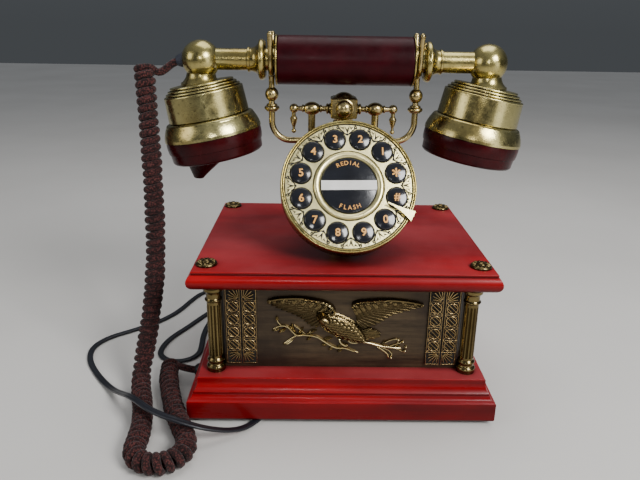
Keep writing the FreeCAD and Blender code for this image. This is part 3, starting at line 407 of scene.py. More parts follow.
RIDGE = [(-1, 0), (-0.8, 0.6), (-0.35, 0.95), (0.35, 0.95), (0.8, 0.6), (1, 0)]
LEAF = [(-1, 0), (-0.8, 0.65), (-0.4, 1.0), (0, 0.6), (0.4, 1.0), (0.8, 0.65), (1, 0)]
INLAY = [(-1, 0), (-0.97, 1), (0.97, 1), (1, 0)]
FEATHER = [(-1, 0), (-0.85, 0.62), (-0.3, 0.72), (0, 1.0), (0.3, 0.72), (0.85, 0.62), (1, 0)]


class Relief:
    """Ridges, leaves and domes on a surface, gathered into one mesh. Sizes are millimetres.

    to_part takes (u, v, height) to the part's frame; ground is the height the surface has."""

    def __init__(self, to_part, ground=None):
        self.to_part = to_part
        self.ground = ground or (lambda u, v: 0.0)
        self.points, self.faces = [], []

    def strip(self, line, widths, heights, profile=RIDGE, lift=0.0, sink=0.12):
        first, n = len(self.points), len(profile)
        for i, (u, v) in enumerate(line):
            a, b = line[max(i - 1, 0)], line[min(i + 1, len(line) - 1)]
            du, dv = b[0] - a[0], b[1] - a[1]
            size = math.hypot(du, dv) or 1.0
            left = (-dv / size, du / size)
            for across, tall in profile:
                s = -across * widths[i]
                x, y = u + left[0] * s, v + left[1] * s
                z = heights[i] * tall + lift if tall else -sink
                self.points.append(self.to_part(x, y, self.ground(x, y) + z))
        for i in range(len(line) - 1):
            for k in range(n - 1):
                a = first + i * n + k
                self.faces.append((a, a + 1, a + n + 1, a + n))

    def ridge(self, line, w, h, ends=0.6, lift=0.0):
        count = len(line) - 1
        shape = [1.0 if ends is None else min(1.0, ends + 3 * min(i, count - i) / count)
                 for i in range(count + 1)]
        self.strip(line, [w * s for s in shape], [h * s for s in shape], RIDGE, lift)

    def leaf(self, a, b, w, h, bend=0.0, lift=0.0, blunt=False, profile=LEAF, steps=8):
        (ax, ay), (bx, by) = a, b
        mid = ((ax + bx) / 2 - (by - ay) * bend, (ay + by) / 2 + (bx - ax) * bend)
        line, widths, heights = [], [], []
        for i in range(steps + 1):
            t = i / steps
            line.append(tuple((1 - t) ** 2 * p + 2 * t * (1 - t) * q + t * t * r
                              for p, q, r in zip(a, mid, b)))
            if blunt:
                full = min(1.0, 0.35 + 2.2 * t) * math.sqrt(max(0.0, 1 - max(0.0, (t - 0.78) / 0.22) ** 2))
            else:
                full = math.sin(math.pi * min(1.0, 0.04 + 0.96 * t)) ** 0.8
            widths.append(w * max(full, 0.02))
            heights.append(h * (0.35 + 0.65 * max(full, 0.0)))
        self.strip(line, widths, heights, profile, lift)

    def dome(self, u, v, r, h, lift=0.0, around=16, rings=5):
        first = len(self.points)
        for i in range(rings):
            a = math.pi / 2 * i / rings
            for k in range(around):
                x, y = polar(r * math.cos(a), 360.0 * k / around)
                x, y = u + x, v + y
                z = h * math.sin(a) + lift if i else -0.1
                self.points.append(self.to_part(x, y, self.ground(x, y) + z))
        self.points.append(self.to_part(u, v, self.ground(u, v) + h + lift))
        for i in range(rings):
            for k in range(around):
                a, b = first + i * around + k, first + i * around + (k + 1) % around
                if i < rings - 1:
                    self.faces.append((a, b, b + around, a + around))
                else:
                    self.faces.append((a, b, first + rings * around))

    def build(self, name, material, body, slot, crease_deg=60):
        return mesh_object(name, self.points, self.faces, material, body, crease_deg)


def curve_through(points, per=8):
    """Smooth flat line through the given points."""
    pts = [points[0]] + list(points) + [points[-1]]
    out = []
    for a, b, c, d in zip(pts, pts[1:], pts[2:], pts[3:]):
        for i in range(per):
            t = i / per
            out.append(tuple(0.5 * (2 * q + (r - p) * t + (2 * p - 5 * q + 4 * r - s) * t * t
                                    + (3 * q - p - 3 * r + s) * t ** 3)
                             for p, q, r, s in zip(a, b, c, d)))
    out.append(tuple(points[-1]))
    return out


def along_line(line, t):
    x = max(0.0, min(1.0, t)) * (len(line) - 1)
    i = min(int(x), len(line) - 2)
    return tuple(p + (q - p) * (x - i) for p, q in zip(line[i], line[i + 1]))


def spiral(u, v, r0, r1, deg0, deg1, count=18):
    out = []
    for i in range(count + 1):
        t = i / count
        x, y = polar(r0 + (r1 - r0) * t, deg0 + (deg1 - deg0) * t)
        out.append((u + x, v + y))
    return out


def front_panel(u, v, h):
    return Vector((u * MM, (-PANEL_FRONT - h) * MM, v * MM))


def side_panel(side):
    return lambda u, v, h: Vector((side * (PANEL_SIDE + h) * MM, side * u * MM, v * MM))


DIAL_YAW = Matrix.Rotation(math.radians(DIAL_YAW_DEG), 3, "Z")
DIAL_TURN = DIAL_YAW @ Matrix.Rotation(math.radians(DIAL_TILT_DEG), 3, "X")
DIAL_C = DIAL_YAW @ (Vector(DIAL_PLACE) * MM)


def dial(u, v, h):
    return DIAL_C + DIAL_TURN @ Vector((u * MM, v * MM, h * MM))


def printed(name, text, size, middle, turn_deg, surface, material, body, bold=0.0):
    """A word or digit printed on a curved face. middle is where its own middle goes, in millimetres."""
    data = bpy.data.curves.new(name, "FONT")
    data.body, data.size, data.offset = text, size, bold
    data.resolution_u = 5
    obj = bpy.data.objects.new(name, data)
    bpy.context.scene.collection.objects.link(obj)
    bpy.context.view_layer.update()
    mesh = bpy.data.meshes.new_from_object(obj)
    bpy.data.objects.remove(obj)
    bpy.data.curves.remove(data)
    work = bmesh.new()
    work.from_mesh(mesh)
    bpy.data.meshes.remove(mesh)
    xs, ys = [v.co.x for v in work.verts], [v.co.y for v in work.verts]
    centre = Vector(((min(xs) + max(xs)) / 2, (min(ys) + max(ys)) / 2, 0))
    for axis, low, high in ((0, min(xs), max(xs)), (1, min(ys), max(ys))):
        cut = low + 0.6
        while cut < high:
            normal = Vector((1, 0, 0)) if axis == 0 else Vector((0, 1, 0))
            bmesh.ops.bisect_plane(work, geom=work.verts[:] + work.edges[:] + work.faces[:],
                                   plane_co=normal * cut, plane_no=normal)
            cut += 0.6
    turn = Matrix.Rotation(math.radians(turn_deg), 3, "Z")
    points = []
    for v in work.verts:
        p = turn @ (v.co - centre)
        u, w = middle[0] + p.x, middle[1] + p.y
        points.append(dial(u, w, surface(u, w) + 0.05))
    faces = [[v.index for v in f.verts] for f in work.faces]
    work.free()
    return mesh_object(name, points, faces, material, body)


# ---- cords -------------------------------------------------------------------------------------
COIL_ROUTE = [
    (-144.0, -6.0, 242.0), (-141.0, -15.0, 192.0), (-139.4, -24.0, 141.0), (-139.8, -31.0, 99.0),
    (-144.5, -36.0, 63.0), (-150.0, -40.0, 35.0), (-153.5, -47.0, 15.5), (-150.5, -62.0, 8.0),
    (-143.5, -82.0, 8.0), (-139.0, -101.0, 8.0), (-137.0, -117.5, 8.0), (-137.2, -131.0, 8.0),
    (-130.8, -140.4, 8.0), (-120.5, -143.7, 8.0), (-110.2, -140.4, 8.0), (-103.8, -131.6, 8.0),
    (-103.6, -121.0, 8.0), (-110.5, -106.0, 8.0), (-119.0, -89.0, 8.0), (-126.0, -69.5, 8.0),
    (-131.5, -52.0, 8.0), (-135.0, -38.0, 8.6), (-136.0, -25.5, 10.0),
]
HANDSET_END = [(-118.0, -0.5, 245.3), (-123.0, -1.2, 244.3), (-128.0, -2.6, 240.4), (-132.5, -4.6, 236.8),
               (-136.5, -6.0, 237.6), (-139.0, -6.2, 241.4)]
BASE_END = [(-131.5, -27.0, 10.5), (-128.6, -31.6, 11.2), (-124.0, -35.0, 12.2), (-119.0, -36.6, 11.6),
            (-112.0, -37.0, 11.0)]
WIRE_R, TURN_R, PITCH = 2.75, 4.8, 5.75
LINE_ROUTE = [
    (-50.0, -50.0, 1.5), (-52.5, -68.0, 1.3), (-59.0, -87.0, 1.3), (-71.0, -103.0, 3.6),
    (-90.0, -114.5, 13.0), (-110.0, -117.0, 21.5), (-131.0, -106.5, 22.0), (-149.0, -88.0, 20.5),
    (-163.0, -70.0, 11.0), (-177.0, -52.0, 3.0), (-194.0, -31.5, 1.3), (-209.5, -8.0, 1.3),
    (-214.5, 14.0, 1.3), (-206.0, 32.0, 1.3), (-189.0, 45.0, 1.3), (-170.0, 61.0, 1.3),
    (-154.5, 84.0, 1.3), (-147.0, 110.0, 1.3), (-139.0, 131.0, 1.3), (-123.0, 142.0, 1.3),
    (-107.0, 136.0, 1.3), (-104.0, 120.0, 1.3), (-114.5, 101.0, 1.3), (-127.5, 77.0, 1.3),
    (-138.0, 54.0, 1.3), (-149.0, 34.0, 1.3), (-153.5, 16.0, 1.3), (-152.5, 2.0, 1.3),
    (-142.5, -8.0, 1.3), (-128.5, -7.5, 1.3), (-119.0, 2.5, 1.3), (-119.0, 17.0, 1.3),
    (-121.5, 40.0, 1.3), (-119.5, 66.0, 1.3), (-113.5, 89.0, 1.3), (-98.0, 104.0, 1.3),
    (-78.0, 104.5, 1.3), (-62.0, 98.5, 1.3),
]
PLUG_LEAD = [
    (-62.0, 98.1, 3.6), (-48.0, 97.4, 3.5), (-31.0, 99.0, 2.4), (-18.5, 108.0, 1.3),
    (-17.0, 123.0, 1.3), (-10.5, 131.6, 2.4), (-4.6, 132.0, 3.4),
]
HANK_C, HANK_R, HANK_PITCH, HANK_TURNS = (-62.0, 131.5), 33.4, 5.15, 3.5


def make_handset_cord(paints):
    """One textile-covered wire: a short lead, close turns down to the shelf and back, and a lead."""
    middle = spaced(line_of(COIL_ROUTE, "coil_route"), 0.0004)
    frames = carried_frames(middle)
    long = length_of(middle)
    turns = round(long / (PITCH * MM))
    first = frames[0]
    outward = Vector((1, 0.1, 0))
    phase = math.atan2(outward.dot(first[1]), outward.dot(first[0]))
    coil = []
    for i, (p, (side, up)) in enumerate(zip(middle, frames)):
        s = i / (len(middle) - 1)
        drift = 0.28 * math.sin(37 * s) + 0.15 * math.sin(83 * s + 1)
        angle = phase + 2 * math.pi * turns * s + drift
        r = (TURN_R + 0.16 * math.sin(61 * s) + 0.12 * math.sin(140 * s)) * MM
        coil.append(p + side * (r * math.cos(angle)) + up * (r * math.sin(angle)))
    start = line_of(HANDSET_END + [tuple(c / MM for c in coil[6])], "handset_end")
    end = line_of([tuple(c / MM for c in coil[-7])] + BASE_END, "base_end")
    wire = spaced(start[:-1] + coil[6:-6] + end[1:], 0.0019)
    section = [polar(WIRE_R, 36 * k) for k in range(10)]
    cord = sweep("handset_cord_wire", wire, carried_frames(wire), section, paints["braid"])
    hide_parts("handset_cord", "handset_cord_lead")
    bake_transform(cord)
    print(f"handset cord {length_of(wire):.3f} m, {turns} turns")


def make_line_cord(paints):
    """The flat black cord, from its clamp round the left side to its coil and plug behind."""
    hank = []
    steps = 48
    for i in range(int(2 * HANK_TURNS * steps) + 1):
        turned = i / steps
        inward = turned if turned <= HANK_TURNS else 2 * HANK_TURNS - turned
        climb = max(0.0, min(1.0, (turned - HANK_TURNS + 0.22) / 0.22))
        x, y = polar(HANK_R - HANK_PITCH * inward, -90 + 360 * turned)
        hank.append(Vector((HANK_C[0] + x, HANK_C[1] + y, 1.3 + 2.3 * climb)) * MM)
    line = line_of(LINE_ROUTE, "line_route") + hank[1:] + line_of(PLUG_LEAD, "plug_lead")[1:]
    line = spaced(line, 0.0022)
    half = [(-2.5, 0.0), (-2.3, 0.72), (-1.7, 1.05), (-0.9, 1.05), (-0.35, 0.82), (0.35, 0.82),
            (0.9, 1.05), (1.7, 1.05), (2.3, 0.72), (2.5, 0.0)]
    section = half + [(a, -b) for a, b in reversed(half[1:-1])]
    cord = sweep("line_cord_wire", line, level_frames(line), section, paints["cord"])
    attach(cord, "root")
    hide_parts("line_cord", "line_cord_coil")
    print(f"line cord {length_of(line):.3f} m")


def make_plug_contacts(paints):
    contacts = Relief(lambda u, v, h: Vector((u, v, h)) * MM)
    for k in range(6):
        y = PLUG_Y + CONTACT_PITCH * (k - 2.5)
        contacts.strip([(4.6, y), (8.8, y)], [0.3, 0.3], [6.9, 6.9], sink=-5.9)
    return contacts.build("plug_contacts", paints["relief"], "root", "antique_brass")


# ---- dial --------------------------------------------------------------------------------------
KEYS = ["1", "2", "3", "4", "5", "6", "7", "8", "9", "0", "hash", "star"]
GLYPHS = {"hash": "#", "star": "*"}
KEY_PITCH_R = 34.6


def key_top(middle):
    return lambda u, v: 2.3 - ((u - middle[0]) ** 2 + (v - middle[1]) ** 2) / 60.6


def disc_top(u, v):
    return 1.7 - (u * u + v * v) / 445.0


def print_dial(paints):
    for k, key in enumerate(KEYS):
        middle = polar(KEY_PITCH_R, 45 + 30 * k)
        glyph = GLYPHS.get(key, key)
        size = 14.0 if glyph == "*" else 7.5
        printed(f"print_{key}", glyph, size, middle, 0, key_top(middle), paints["gold_ink"],
                f"key_{key}", 0.16)
    for word, body, r, deg, step in (("REDIAL", "redial_key", 16.2, 90, -10.6),
                                     ("FLASH", "flash_key", 16.0, 270, 11.4)):
        for i, letter in enumerate(word):
            a = deg + step * (i - (len(word) - 1) / 2)
            printed(f"print_{word.lower()}_{i}", letter, 4.4, polar(r, a), a - deg, disc_top,
                    paints["gold_ink"], body, 0.03)


def engrave_dial(paints):
    """Scrolls and leaves round the face: dark cut lines with a slightly raised leaf inside them."""
    cut, leaves = Relief(dial), Relief(dial)

    def at(deg, along, r):
        """Millimetres along the rim from an angle, and a radius, to the dial's plane."""
        return polar(r, deg + math.degrees(along / r))

    def leaf(a, b, w, bend, outline=0.72):
        cut.leaf(a, b, w + outline, 0.05, bend, profile=INLAY)
        leaves.leaf(a, b, w, 0.16, bend, lift=0.06)

    def line(points, w=0.52):
        cut.strip(points, [w] * len(points), [0.045] * len(points), INLAY)

    for k in range(12):
        gap, key = 60 + 30 * k, 45 + 30 * k
        for s in (-1, 1):
            def q(along, r):
                return at(gap, s * along, r)
            leaf(q(0.35, 38.2), q(1.9, 43.8), 0.95, 0.20 * s)
            leaf(q(1.9, 40.6), q(5.0, 43.7), 0.80, 0.28 * s)
            leaf(q(1.2, 38.4), q(3.4, 40.6), 0.55, -0.25 * s)
            line(curve_through([q(0.15, 36.8), q(1.2, 39.4), q(3.0, 41.2), q(5.2, 42.2), q(7.2, 42.6)]))
            line(curve_through([q(0.9, 37.5), q(2.3, 38.6), q(3.9, 39.9)]), 0.40)
            line(curve_through([q(3.3, 41.6), q(4.6, 41.3), q(5.6, 41.7)]), 0.36)
            cx, cy = q(6.4, 43.3)
            line(spiral(cx, cy, 1.15, 0.25, gap + 180 * (s > 0), gap + 180 * (s > 0) - s * 400), 0.40)

            def p(along, r):
                return at(key, s * along, r)
            leaf(p(0.25, 42.9), p(2.1, 44.1), 0.42, 0.14 * s, 0.34)
        cut.dome(*at(gap, 0, 36.6), 0.3, 0.04, around=8, rings=2)
        cut.dome(*at(key, 0, 43.6), 0.3, 0.04, around=8, rings=2)
    for r, w in ((45.0, 0.36), (25.15, 0.30)):
        line([polar(r, 3 * i) for i in range(121)], w)
    for k in range(12):
        u, v = polar(KEY_PITCH_R, 45 + 30 * k)
        line([(u + x, v + y) for x, y in (polar(7.8, 10 * i) for i in range(37))], 0.22)
    cut.build("dial_cut_lines", paints["ink"], "root", "antique_brass")
    leaves.build("dial_leaves", paints["face"], "root", "antique_brass")

    rim = Relief(dial)
    for i in range(96):
        u, v = polar(46.2, 3.75 * i)
        rim.dome(u, v, 0.36, 0.3, lift=0.28, around=8, rings=2)
    rim.build("dial_rim_beads", paints["face"], "root", "antique_brass")


# ---- box ---------------------------------------------------------------------------------------
def lattice_cell(relief, u, v, a, kind, toward):
    """One square of the pierced strips: a circle with crossing bands, or a fan from one corner."""
    if kind == "circle":
        r = a * 0.86
        relief.ridge([(u + x, v + y) for x, y in (polar(r, 15 * i) for i in range(25))], 0.44, 0.8, None)
        for off in (-0.52, 0.0, 0.52):
            x, y = polar(off * a, 45)
            dx, dy = polar(math.sqrt(r * r - off * off * a * a), -45)
            relief.ridge([(u + x - dx, v + y - dy), (u + x, v + y), (u + x + dx, v + y + dy)],
                         0.42, 0.95, None)
        for deg in (45, 135, 225, 315):
            x, y = polar(r * 0.98, deg)
            x2, y2 = polar(a * 1.38, deg)
            relief.ridge([(u + x, v + y), (u + (x + x2) / 2, v + (y + y2) / 2), (u + x2, v + y2)],
                         0.36, 0.6, None)
            relief.leaf((u + x * 0.2, v + y * 0.2), (u + x * 0.95, v + y * 0.95), 0.4, 0.7)
    else:
        cu, cv = u + toward[0] * a, v + toward[1] * a
        for i, reach in enumerate((0.98, 1.12, 1.22, 1.12, 0.98)):
            base = math.degrees(math.atan2(-toward[1], -toward[0])) + 17.5 * (i - 2)
            x0, y0 = polar(a * 0.35, base)
            x1, y1 = polar(a * 2 * reach / 1.15, base)
            end = (max(u - a, min(u + a, cu + x1)), max(v - a, min(v + a, cv + y1)))
            middle = ((cu + x0 + end[0]) / 2, (cv + y0 + end[1]) / 2)
            relief.ridge([(cu + x0, cv + y0), middle, end], 0.42, 0.95, None)
        relief.ridge([(cu + x, cv + y) for x, y in (
            polar(a * 0.42, math.degrees(math.atan2(-toward[1], -toward[0])) + 9 * (j - 5))
            for j in range(11))], 0.3, 0.8, None)


def lattice(relief, u0, u1, v0, v1):
    """Two columns of six pierced squares between thin bars."""
    columns, rows, gap = 2, 6, 1.3
    wide, tall = (u1 - u0 - gap) / columns, (v1 - v0) / rows
    for c in range(columns):
        left = u0 + c * (wide + gap)
        for u in (left + 0.3, left + wide - 0.3):
            relief.ridge([(u, v0), (u, (v0 + v1) / 2), (u, v1)], 0.27, 0.6, None)
        for r in range(rows + 1):
            v = min(max(v0 + r * tall, v0 + 0.35), v1 - 0.35)
            relief.ridge([(left, v), (left + wide / 2, v), (left + wide, v)], 0.27, 0.6, None)
        for r in range(rows):
            u, v = left + wide / 2, v0 + (r + 0.5) * tall
            kind = "fan" if r in (0, rows - 1) else "circle"
            lattice_cell(relief, u, v, wide / 2 - 0.7, kind, (1 if c == 0 else -1, 1 if r == 0 else -1))


def dress_strips(paints):
    front = Relief(front_panel, lambda u, v: STRIP_T)
    for u0, u1 in ((-STRIP_OUTER, -STRIP_INNER), (STRIP_INNER, STRIP_OUTER)):
        lattice(front, u0, u1, STRIP_LOW, STRIP_HIGH)
    front.build("front_lattice", paints["lattice"], "root", "antique_brass")
    for side, word in ((-1, "left"), (1, "right")):
        relief = Relief(side_panel(side), lambda u, v: STRIP_T)
        for s in (-1, 1):
            lo, hi = sorted((s * SIDE_STRIP_OUTER, s * SIDE_STRIP_INNER))
            lattice(relief, lo, hi, STRIP_LOW, STRIP_HIGH)
        relief.build(f"{word}_lattice", paints["lattice"], "root", "antique_brass")


def dress_eagle(paints):
    """The spread eagle on its sprig, feather by feather, in place of the plain relief."""
    def back(u, v):
        """The body's swell, along a line from the shoulders to the tail."""
        ax, ay, bx, by = -11.5, 73.0, 12.5, 59.5
        dx, dy = bx - ax, by - ay
        t = ((u - ax) * dx + (v - ay) * dy) / (dx * dx + dy * dy)
        off = math.hypot(u - ax - dx * t, v - ay - dy * t)
        r = 8.2 * math.sqrt(max(0.0, 1 - ((t - 0.46) / 0.72) ** 2))
        return 4.6 * math.sqrt(max(0.0, 1 - (off / r) ** 2)) if off < r else 0.0

    eagle, feathers, sprig = Relief(front_panel), Relief(front_panel), Relief(front_panel)
    wings = [
        # leading edge, trailing edge, root line, side
        ([(-53.7, 86.2), (-50, 88.0), (-44.3, 89.2), (-32.2, 89.8), (-23.2, 88.9), (-15.1, 87.4),
          (-9.4, 85.0), (-6.0, 81.0), (-6.2, 77.6)],
         [(-53.2, 85.6), (-50, 83.2), (-44, 80.4), (-37.8, 77.9), (-32, 75.0), (-27.5, 71.6),
          (-24, 68.2), (-18.5, 66.6), (-13.0, 68.5)],
         [(-12.0, 86.0), (-10.5, 82.0), (-10.5, 78.0), (-11.0, 74.0)], -1),
        ([(55.9, 84.3), (54.2, 86.2), (43.3, 88.2), (31.2, 89.0), (19, 88.2), (11.5, 87.4),
          (7.6, 85.6), (7.0, 82.0)],
         [(55.4, 83.9), (51.5, 82.0), (43.3, 79.6), (37.0, 77.6), (32.5, 74.6), (28.0, 71.0),
          (22.5, 68.0), (17.0, 66.0), (12.0, 68.0)],
         [(11.0, 85.0), (10.0, 81.0), (9.6, 76.0), (10.2, 71.0)], 1),
    ]
    for lead, trail, root, side in wings:
        lead, trail, root = curve_through(lead), curve_through(trail), curve_through(root)
        for i in range(13):
            t = i / 12
            start = along_line(root, 0.05 + 0.9 * t)
            end = along_line(trail, 0.03 + 0.90 * t)
            feathers.leaf(start, end, 1.6 - 0.3 * t, 1.0, 0.10 * side * (1 - t), 1.3 - 0.55 * t, True,
                          FEATHER, 12)
        for row, (n, share, w, lift) in enumerate(((11, 0.60, 1.5, 1.5), (10, 0.38, 1.35, 1.9),
                                                   (9, 0.18, 1.2, 2.2))):
            for i in range(n):
                t = 0.10 + 0.84 * i / (n - 1)
                a, b = along_line(lead, t), along_line(trail, t * 0.97)
                start = tuple(p + (q - p) * share * 0.35 for p, q in zip(a, b))
                end = tuple(p + (q - p) * share for p, q in zip(a, b))
                end = (end[0] + side * 2.2 * (1 - t), end[1])
                layer = feathers if row == 0 else eagle
                layer.leaf(start, end, w, 0.8, 0.12 * side, lift, True, FEATHER, 7)
        eagle.ridge([along_line(lead, 0.02 + 0.96 * i / 30) for i in range(31)], 1.25, 3.1)
        for i in range(9):
            u, v = along_line(lead, 0.50 + 0.46 * i / 8)
            u2, v2 = along_line(lead, 0.50 + 0.46 * i / 8 - 0.07)
            sprig.leaf((u, v), (u2, v2 - 0.5), 1.05, 1.0, 0, 2.6, True, LEAF, 6)

    for i, (end, w) in enumerate((((21.5, 66.2), 1.6), ((25.0, 64.8), 1.7), ((27.6, 62.8), 1.8),
                                  ((28.0, 60.4), 1.7), ((24.5, 58.4), 1.6), ((19.5, 57.4), 1.5))):
        eagle.leaf((10.5, 62.5 - 0.45 * i), end, w, 1.0, 0.03 * (i - 2), 1.0 + 0.35 * (i % 2), True,
                   FEATHER, 10)

    swell = Relief(front_panel, back)
    fine = 26
    for i in range(fine + 1):
        for k in range(fine + 1):
            u, v = -19.0 + 38.0 * i / fine, 54.0 + 28.0 * k / fine
            h = back(u, v)
            swell.points.append(front_panel(u, v, h if h > 0 else -0.3))
    for i in range(fine):
        for k in range(fine):
            a = i * (fine + 1) + k
            swell.faces.append((a, a + fine + 1, a + fine + 2, a + 1))
    for row in range(11):
        t = row / 10
        for s in range(-4, 5):
            u = -11.5 + 25.5 * t + s * 1.35 + (0.6 if row % 2 else 0)
            v = 73.0 - 14.0 * t + s * 1.9 + (0.7 if row % 2 else 0)
            if back(u, v) > 1.0:
                swell.leaf((u, v), (u + 2.5, v - 1.35), 0.95, 0.45, 0, 0.12, True, FEATHER, 6)
    swell.ridge(curve_through([(-17.6, 76.6), (-15.2, 77.4), (-12.0, 75.6), (-9.5, 72.5)]), 2.3, 5.0, 0.5)

    eagle.dome(-14.0, 76.0, 2.9, 6.2)
    eagle.leaf((-15.4, 77.6), (-18.7, 75.8), 0.95, 4.6, -0.28, 0.6)
    eagle.dome(-15.0, 76.7, 0.42, 0.5, lift=5.3, around=8, rings=3)
    for u, v, deg in ((-11.8, 77.6, 20), (-12.4, 74.2, -40), (-10.6, 75.6, -20), (-13.2, 73.0, -70)):
        x, y = polar(2.6, deg)
        eagle.leaf((u, v), (u + x, v + y), 0.8, 0.9, 0.1, 4.2, True, FEATHER, 6)

    stem = [(-49.0, 65.3), (-43.5, 67.9), (-38.7, 66.8), (-35.2, 62.9), (-32.2, 60.4), (-26.5, 60.7),
            (-18.4, 59.4), (-13.5, 56.3), (-8.6, 52.9), (-3.7, 50.6), (2.7, 50.3), (8.4, 48.0), (12.0, 46.7)]
    lines = [
        (stem, 0.85, 2.2), ([(-43.5, 67.9), (-46.0, 71.0), (-46.4, 74.6)], 0.55, 1.6),
        ([(-32.2, 60.4), (-37.0, 57.0), (-42.0, 53.0)], 0.7, 1.7),
        ([(-35.0, 68.6), (-30.4, 65.2), (-26.0, 61.0)], 0.6, 1.6),
        ([(-2.0, 58.6), (-1.0, 55.4), (1.8, 53.0), (4.6, 52.6)], 1.0, 2.8),
        ([(3.8, 57.6), (6.4, 55.4), (9.6, 54.9), (13.0, 55.8)], 0.9, 2.6),
        ([(9.0, 56.4), (15.0, 55.4), (19.5, 54.7), (28.0, 52.2), (35.2, 51.2), (43.0, 50.4)], 0.95, 2.3),
        ([(27.5, 52.6), (33.0, 56.0), (38.5, 57.9), (40.8, 56.4), (39.6, 54.0)], 0.55, 1.6),
        ([(33.0, 51.4), (37.6, 53.2), (43.4, 55.2)], 0.5, 1.5),
        ([(25.5, 51.6), (30.0, 48.6), (33.4, 45.4), (34.4, 41.8)], 0.75, 1.7),
        ([(27.5, 51.4), (33.4, 49.2), (36.6, 45.8), (36.0, 43.0)], 0.55, 1.5),
        ([(36.0, 51.0), (41.0, 49.6), (45.0, 47.4)], 0.55, 1.5),
    ]
    for points, w, h in lines:
        sprig.ridge(curve_through(points), w * 1.15, h, 0.6)
    for a, b, w in (((-46.2, 71.6), (-46.6, 75.4), 1.15), ((-44.5, 66.8), (-50.2, 63.8), 1.15),
                    ((-40.0, 66.4), (-45.8, 62.4), 1.1), ((-34.0, 63.4), (-38.6, 65.8), 1.0),
                    ((-33.0, 61.2), (-36.4, 69.8), 1.2), ((-31.0, 60.6), (-27.5, 66.6), 1.15),
                    ((-34.0, 59.2), (-42.6, 52.6), 1.35), ((-25.0, 61.0), (-18.0, 64.6), 1.15),
                    ((-22.0, 60.2), (-25.8, 56.4), 1.0), ((-13.5, 56.6), (-6.8, 58.2), 1.0),
                    ((-10.0, 53.8), (-14.8, 52.6), 1.0), ((-6.0, 51.6), (-9.8, 48.8), 1.0),
                    ((-3.0, 50.8), (3.2, 53.6), 0.95), ((1.0, 50.2), (-3.4, 47.4), 0.95),
                    ((29.0, 52.4), (32.0, 56.6), 0.9), ((38.0, 51.0), (42.2, 53.2), 0.8)):
        sprig.leaf(a, b, w * 1.15, 1.7, 0.16, 0.5)
    for u, v in ((44.2, 55.6), (45.9, 48.0), (40.9, 57.2), (36.2, 42.6), (46.6, 51.4)):
        sprig.dome(u, v, 1.25, 2.3, around=12, rings=4)
    obj = eagle.build("eagle_relief", paints["relief"], "root", "antique_brass")
    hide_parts("eagle_emblem")
    swell.build("eagle_body", paints["relief"], "root", "antique_brass")
    feathers.build("eagle_flight_feathers", paints["feather"], "root", "antique_brass")
    sprig.build("eagle_sprig", paints["sprig"], "root", "antique_brass")


def dress_rosettes(paints):
    base = SLAB_TOP + ROSETTE_PETAL_Z
    places = [(x, y) for y in (ROSETTE_FRONT, ROSETTE_REAR) for x in (-ROSETTE_X, ROSETTE_X)]
    for i, (cx, cy) in enumerate(places):
        petals = Relief(lambda u, v, h, cx=cx, cy=cy: Vector((cx + u, cy + v, base + h)) * MM)
        for k in range(8):
            petals.leaf(polar(2.9, 45 * k), polar(6.3, 45 * k), 1.2, 0.75, 0, 0.0, True)
            petals.leaf(polar(4.2, 45 * k + 22.5), polar(6.7, 45 * k + 22.5), 0.75, 0.5)
        for k in range(6):
            petals.dome(*polar(1.5, 60 * k), 0.42, 0.5, lift=1.65, around=8, rings=3)
        petals.build(f"rosette_petals_{i}", paints["relief"], "root", "antique_brass")


def dress_screws(paints):
    # Painted shade: dark strips on the screw heads stand for the shade in their slots.
    cross = Relief(lambda u, v, h: Vector((u, v, SCREW_HEAD_Z - h)) * MM)
    for x in (-SCREW_X, SCREW_X):
        for y in (-SCREW_Y, SCREW_Y):
            for du, dv in ((1.2, 0), (0, 1.2)):
                cross.ridge([(x - du, y - dv), (x, y), (x + du, y + dv)], 0.3, 0.05, None)
    cross.build("screw_slot_shade", paints["ink"], "root", "zinc_steel")


# ---- finishing -----------------------------------------------------------------------------------
PAINT_OF = {
    "lacquer": ["plinth", "top_plate"],
    "panel": ["front_panel", "side_and_rear_panels"],
    "ink": ["filigree_strips"],
    "column": ["columns"],
    "relief": ["eagle_emblem", "rosettes"],
    "face": ["dial_face", "finger_stop"],
    "brass": ["dial_housing", "pedestal", "mouth_arm", "ear_arm"],
    "cradle": ["cradle_hub", "cradle_bar", "cradle_yoke", "cradle_forks"],
    "cup": ["mouth_cup", "ear_cup"],
    "grip": ["handset_grip"],
    "cap": ["mouth_cap", "ear_cap"],
    "key": ["redial_key", "flash_key"] + [f"key_{k}" for k in KEYS],
    "label": ["label_strip"],
    "plastic": ["body_shell", "ringer", "ringer_switch", "line_cord_clamp", "base_cord_gland",
                "hook_switch", "microphone", "receiver"],
    "rubber": ["rubber_feet", "key_membrane"],
    "gland": ["handset_gland"],
    "steel": ["base_plate", "base_screws", "plunger_rod"],
    "iron": ["ballast_weight"],
    "board": ["main_board", "key_board"],
    "clear": ["line_plug"],
    "braid": ["handset_cord", "handset_cord_lead"],
    "cord": ["line_cord", "line_cord_coil"],
}


def paint_nodes(paints):
    for paint, names in PAINT_OF.items():
        for name in names:
            mesh = NODES[name].data
            mesh.materials.clear()
            mesh.materials.append(paints[paint])
            mesh.shade_smooth()
            mesh.set_sharp_from_angle(angle=math.radians(SHARP_DEG))


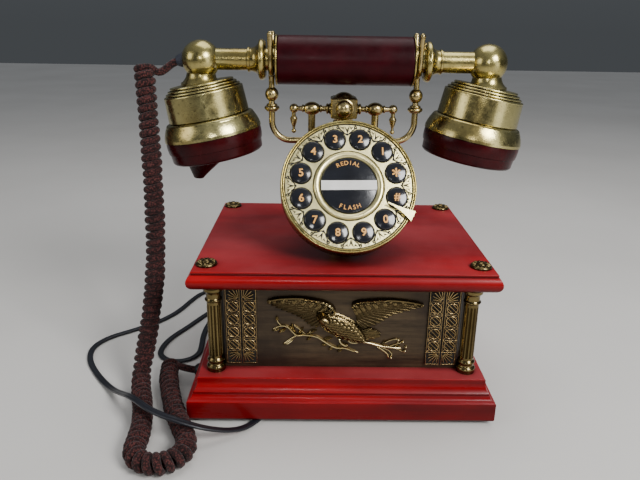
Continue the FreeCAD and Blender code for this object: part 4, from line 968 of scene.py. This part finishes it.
def make_floor():
    p = Paint("pale_floor", (0.60, 0.58, 0.55), 0.0, 0.7)
    clouds = p.ramp(p.noise(3, 3), (0.3, 0.0), (0.7, 1.0))
    p.set(Base_Color=p.mix(clouds, (0.62, 0.60, 0.57), (0.56, 0.54, 0.51)))
    floor = mesh_object("floor", [(-4, -4, 0), (4, -4, 0), (4, 4, 0), (-4, 4, 0)], [(0, 1, 2, 3)], p.mat)


def make_light():
    world = bpy.data.worlds.new("studio")
    world.use_nodes = True
    bpy.context.scene.world = world
    tree = world.node_tree
    place = tree.nodes.new("ShaderNodeTexCoord").outputs["Generated"]
    split = tree.nodes.new("ShaderNodeSeparateXYZ")
    ramp = tree.nodes.new("ShaderNodeValToRGB")
    tree.links.new(place, split.inputs[0])
    tree.links.new(split.outputs["Z"], ramp.inputs["Fac"])
    tree.links.new(ramp.outputs["Color"], tree.nodes["Background"].inputs["Color"])
    tree.nodes["Background"].inputs["Strength"].default_value = 1.0
    e = ramp.color_ramp.elements
    e[0].position, e[0].color = 0.0, (0.06, 0.065, 0.07, 1)
    e[1].position, e[1].color = 1.0, (0.42, 0.44, 0.47, 1)
    middle = e.new(0.35)
    middle.color = (0.09, 0.10, 0.11, 1)
    for name, place, size, power in (("key", (0.60, -0.75, 0.80), 0.40, 15.0),
                                     ("fill", (-0.95, -0.45, 0.55), 0.5, 2.4),
                                     ("front", (-0.05, -0.80, 0.45), 0.10, 0.9),
                                     ("side", (0.90, -0.85, 0.22), 0.5, 1.5),
                                     ("top", (0.10, 0.25, 1.20), 0.8, 6.0)):
        data = bpy.data.lights.new(name, "AREA")
        data.size, data.energy = size, power
        lamp = bpy.data.objects.new(name, data)
        lamp.location = place
        aim = Vector((0, 0, 0.13)) - Vector(place)
        lamp.rotation_euler = aim.to_track_quat("-Z", "Y").to_euler()
        bpy.context.scene.collection.objects.link(lamp)


make_camera()
PAINTS = make_paints()
make_plug_contacts(PAINTS)
make_handset_cord(PAINTS)
make_line_cord(PAINTS)
paint_nodes(PAINTS)
print_dial(PAINTS)
engrave_dial(PAINTS)
dress_strips(PAINTS)
dress_eagle(PAINTS)
dress_rosettes(PAINTS)
dress_screws(PAINTS)
make_floor()
make_light()
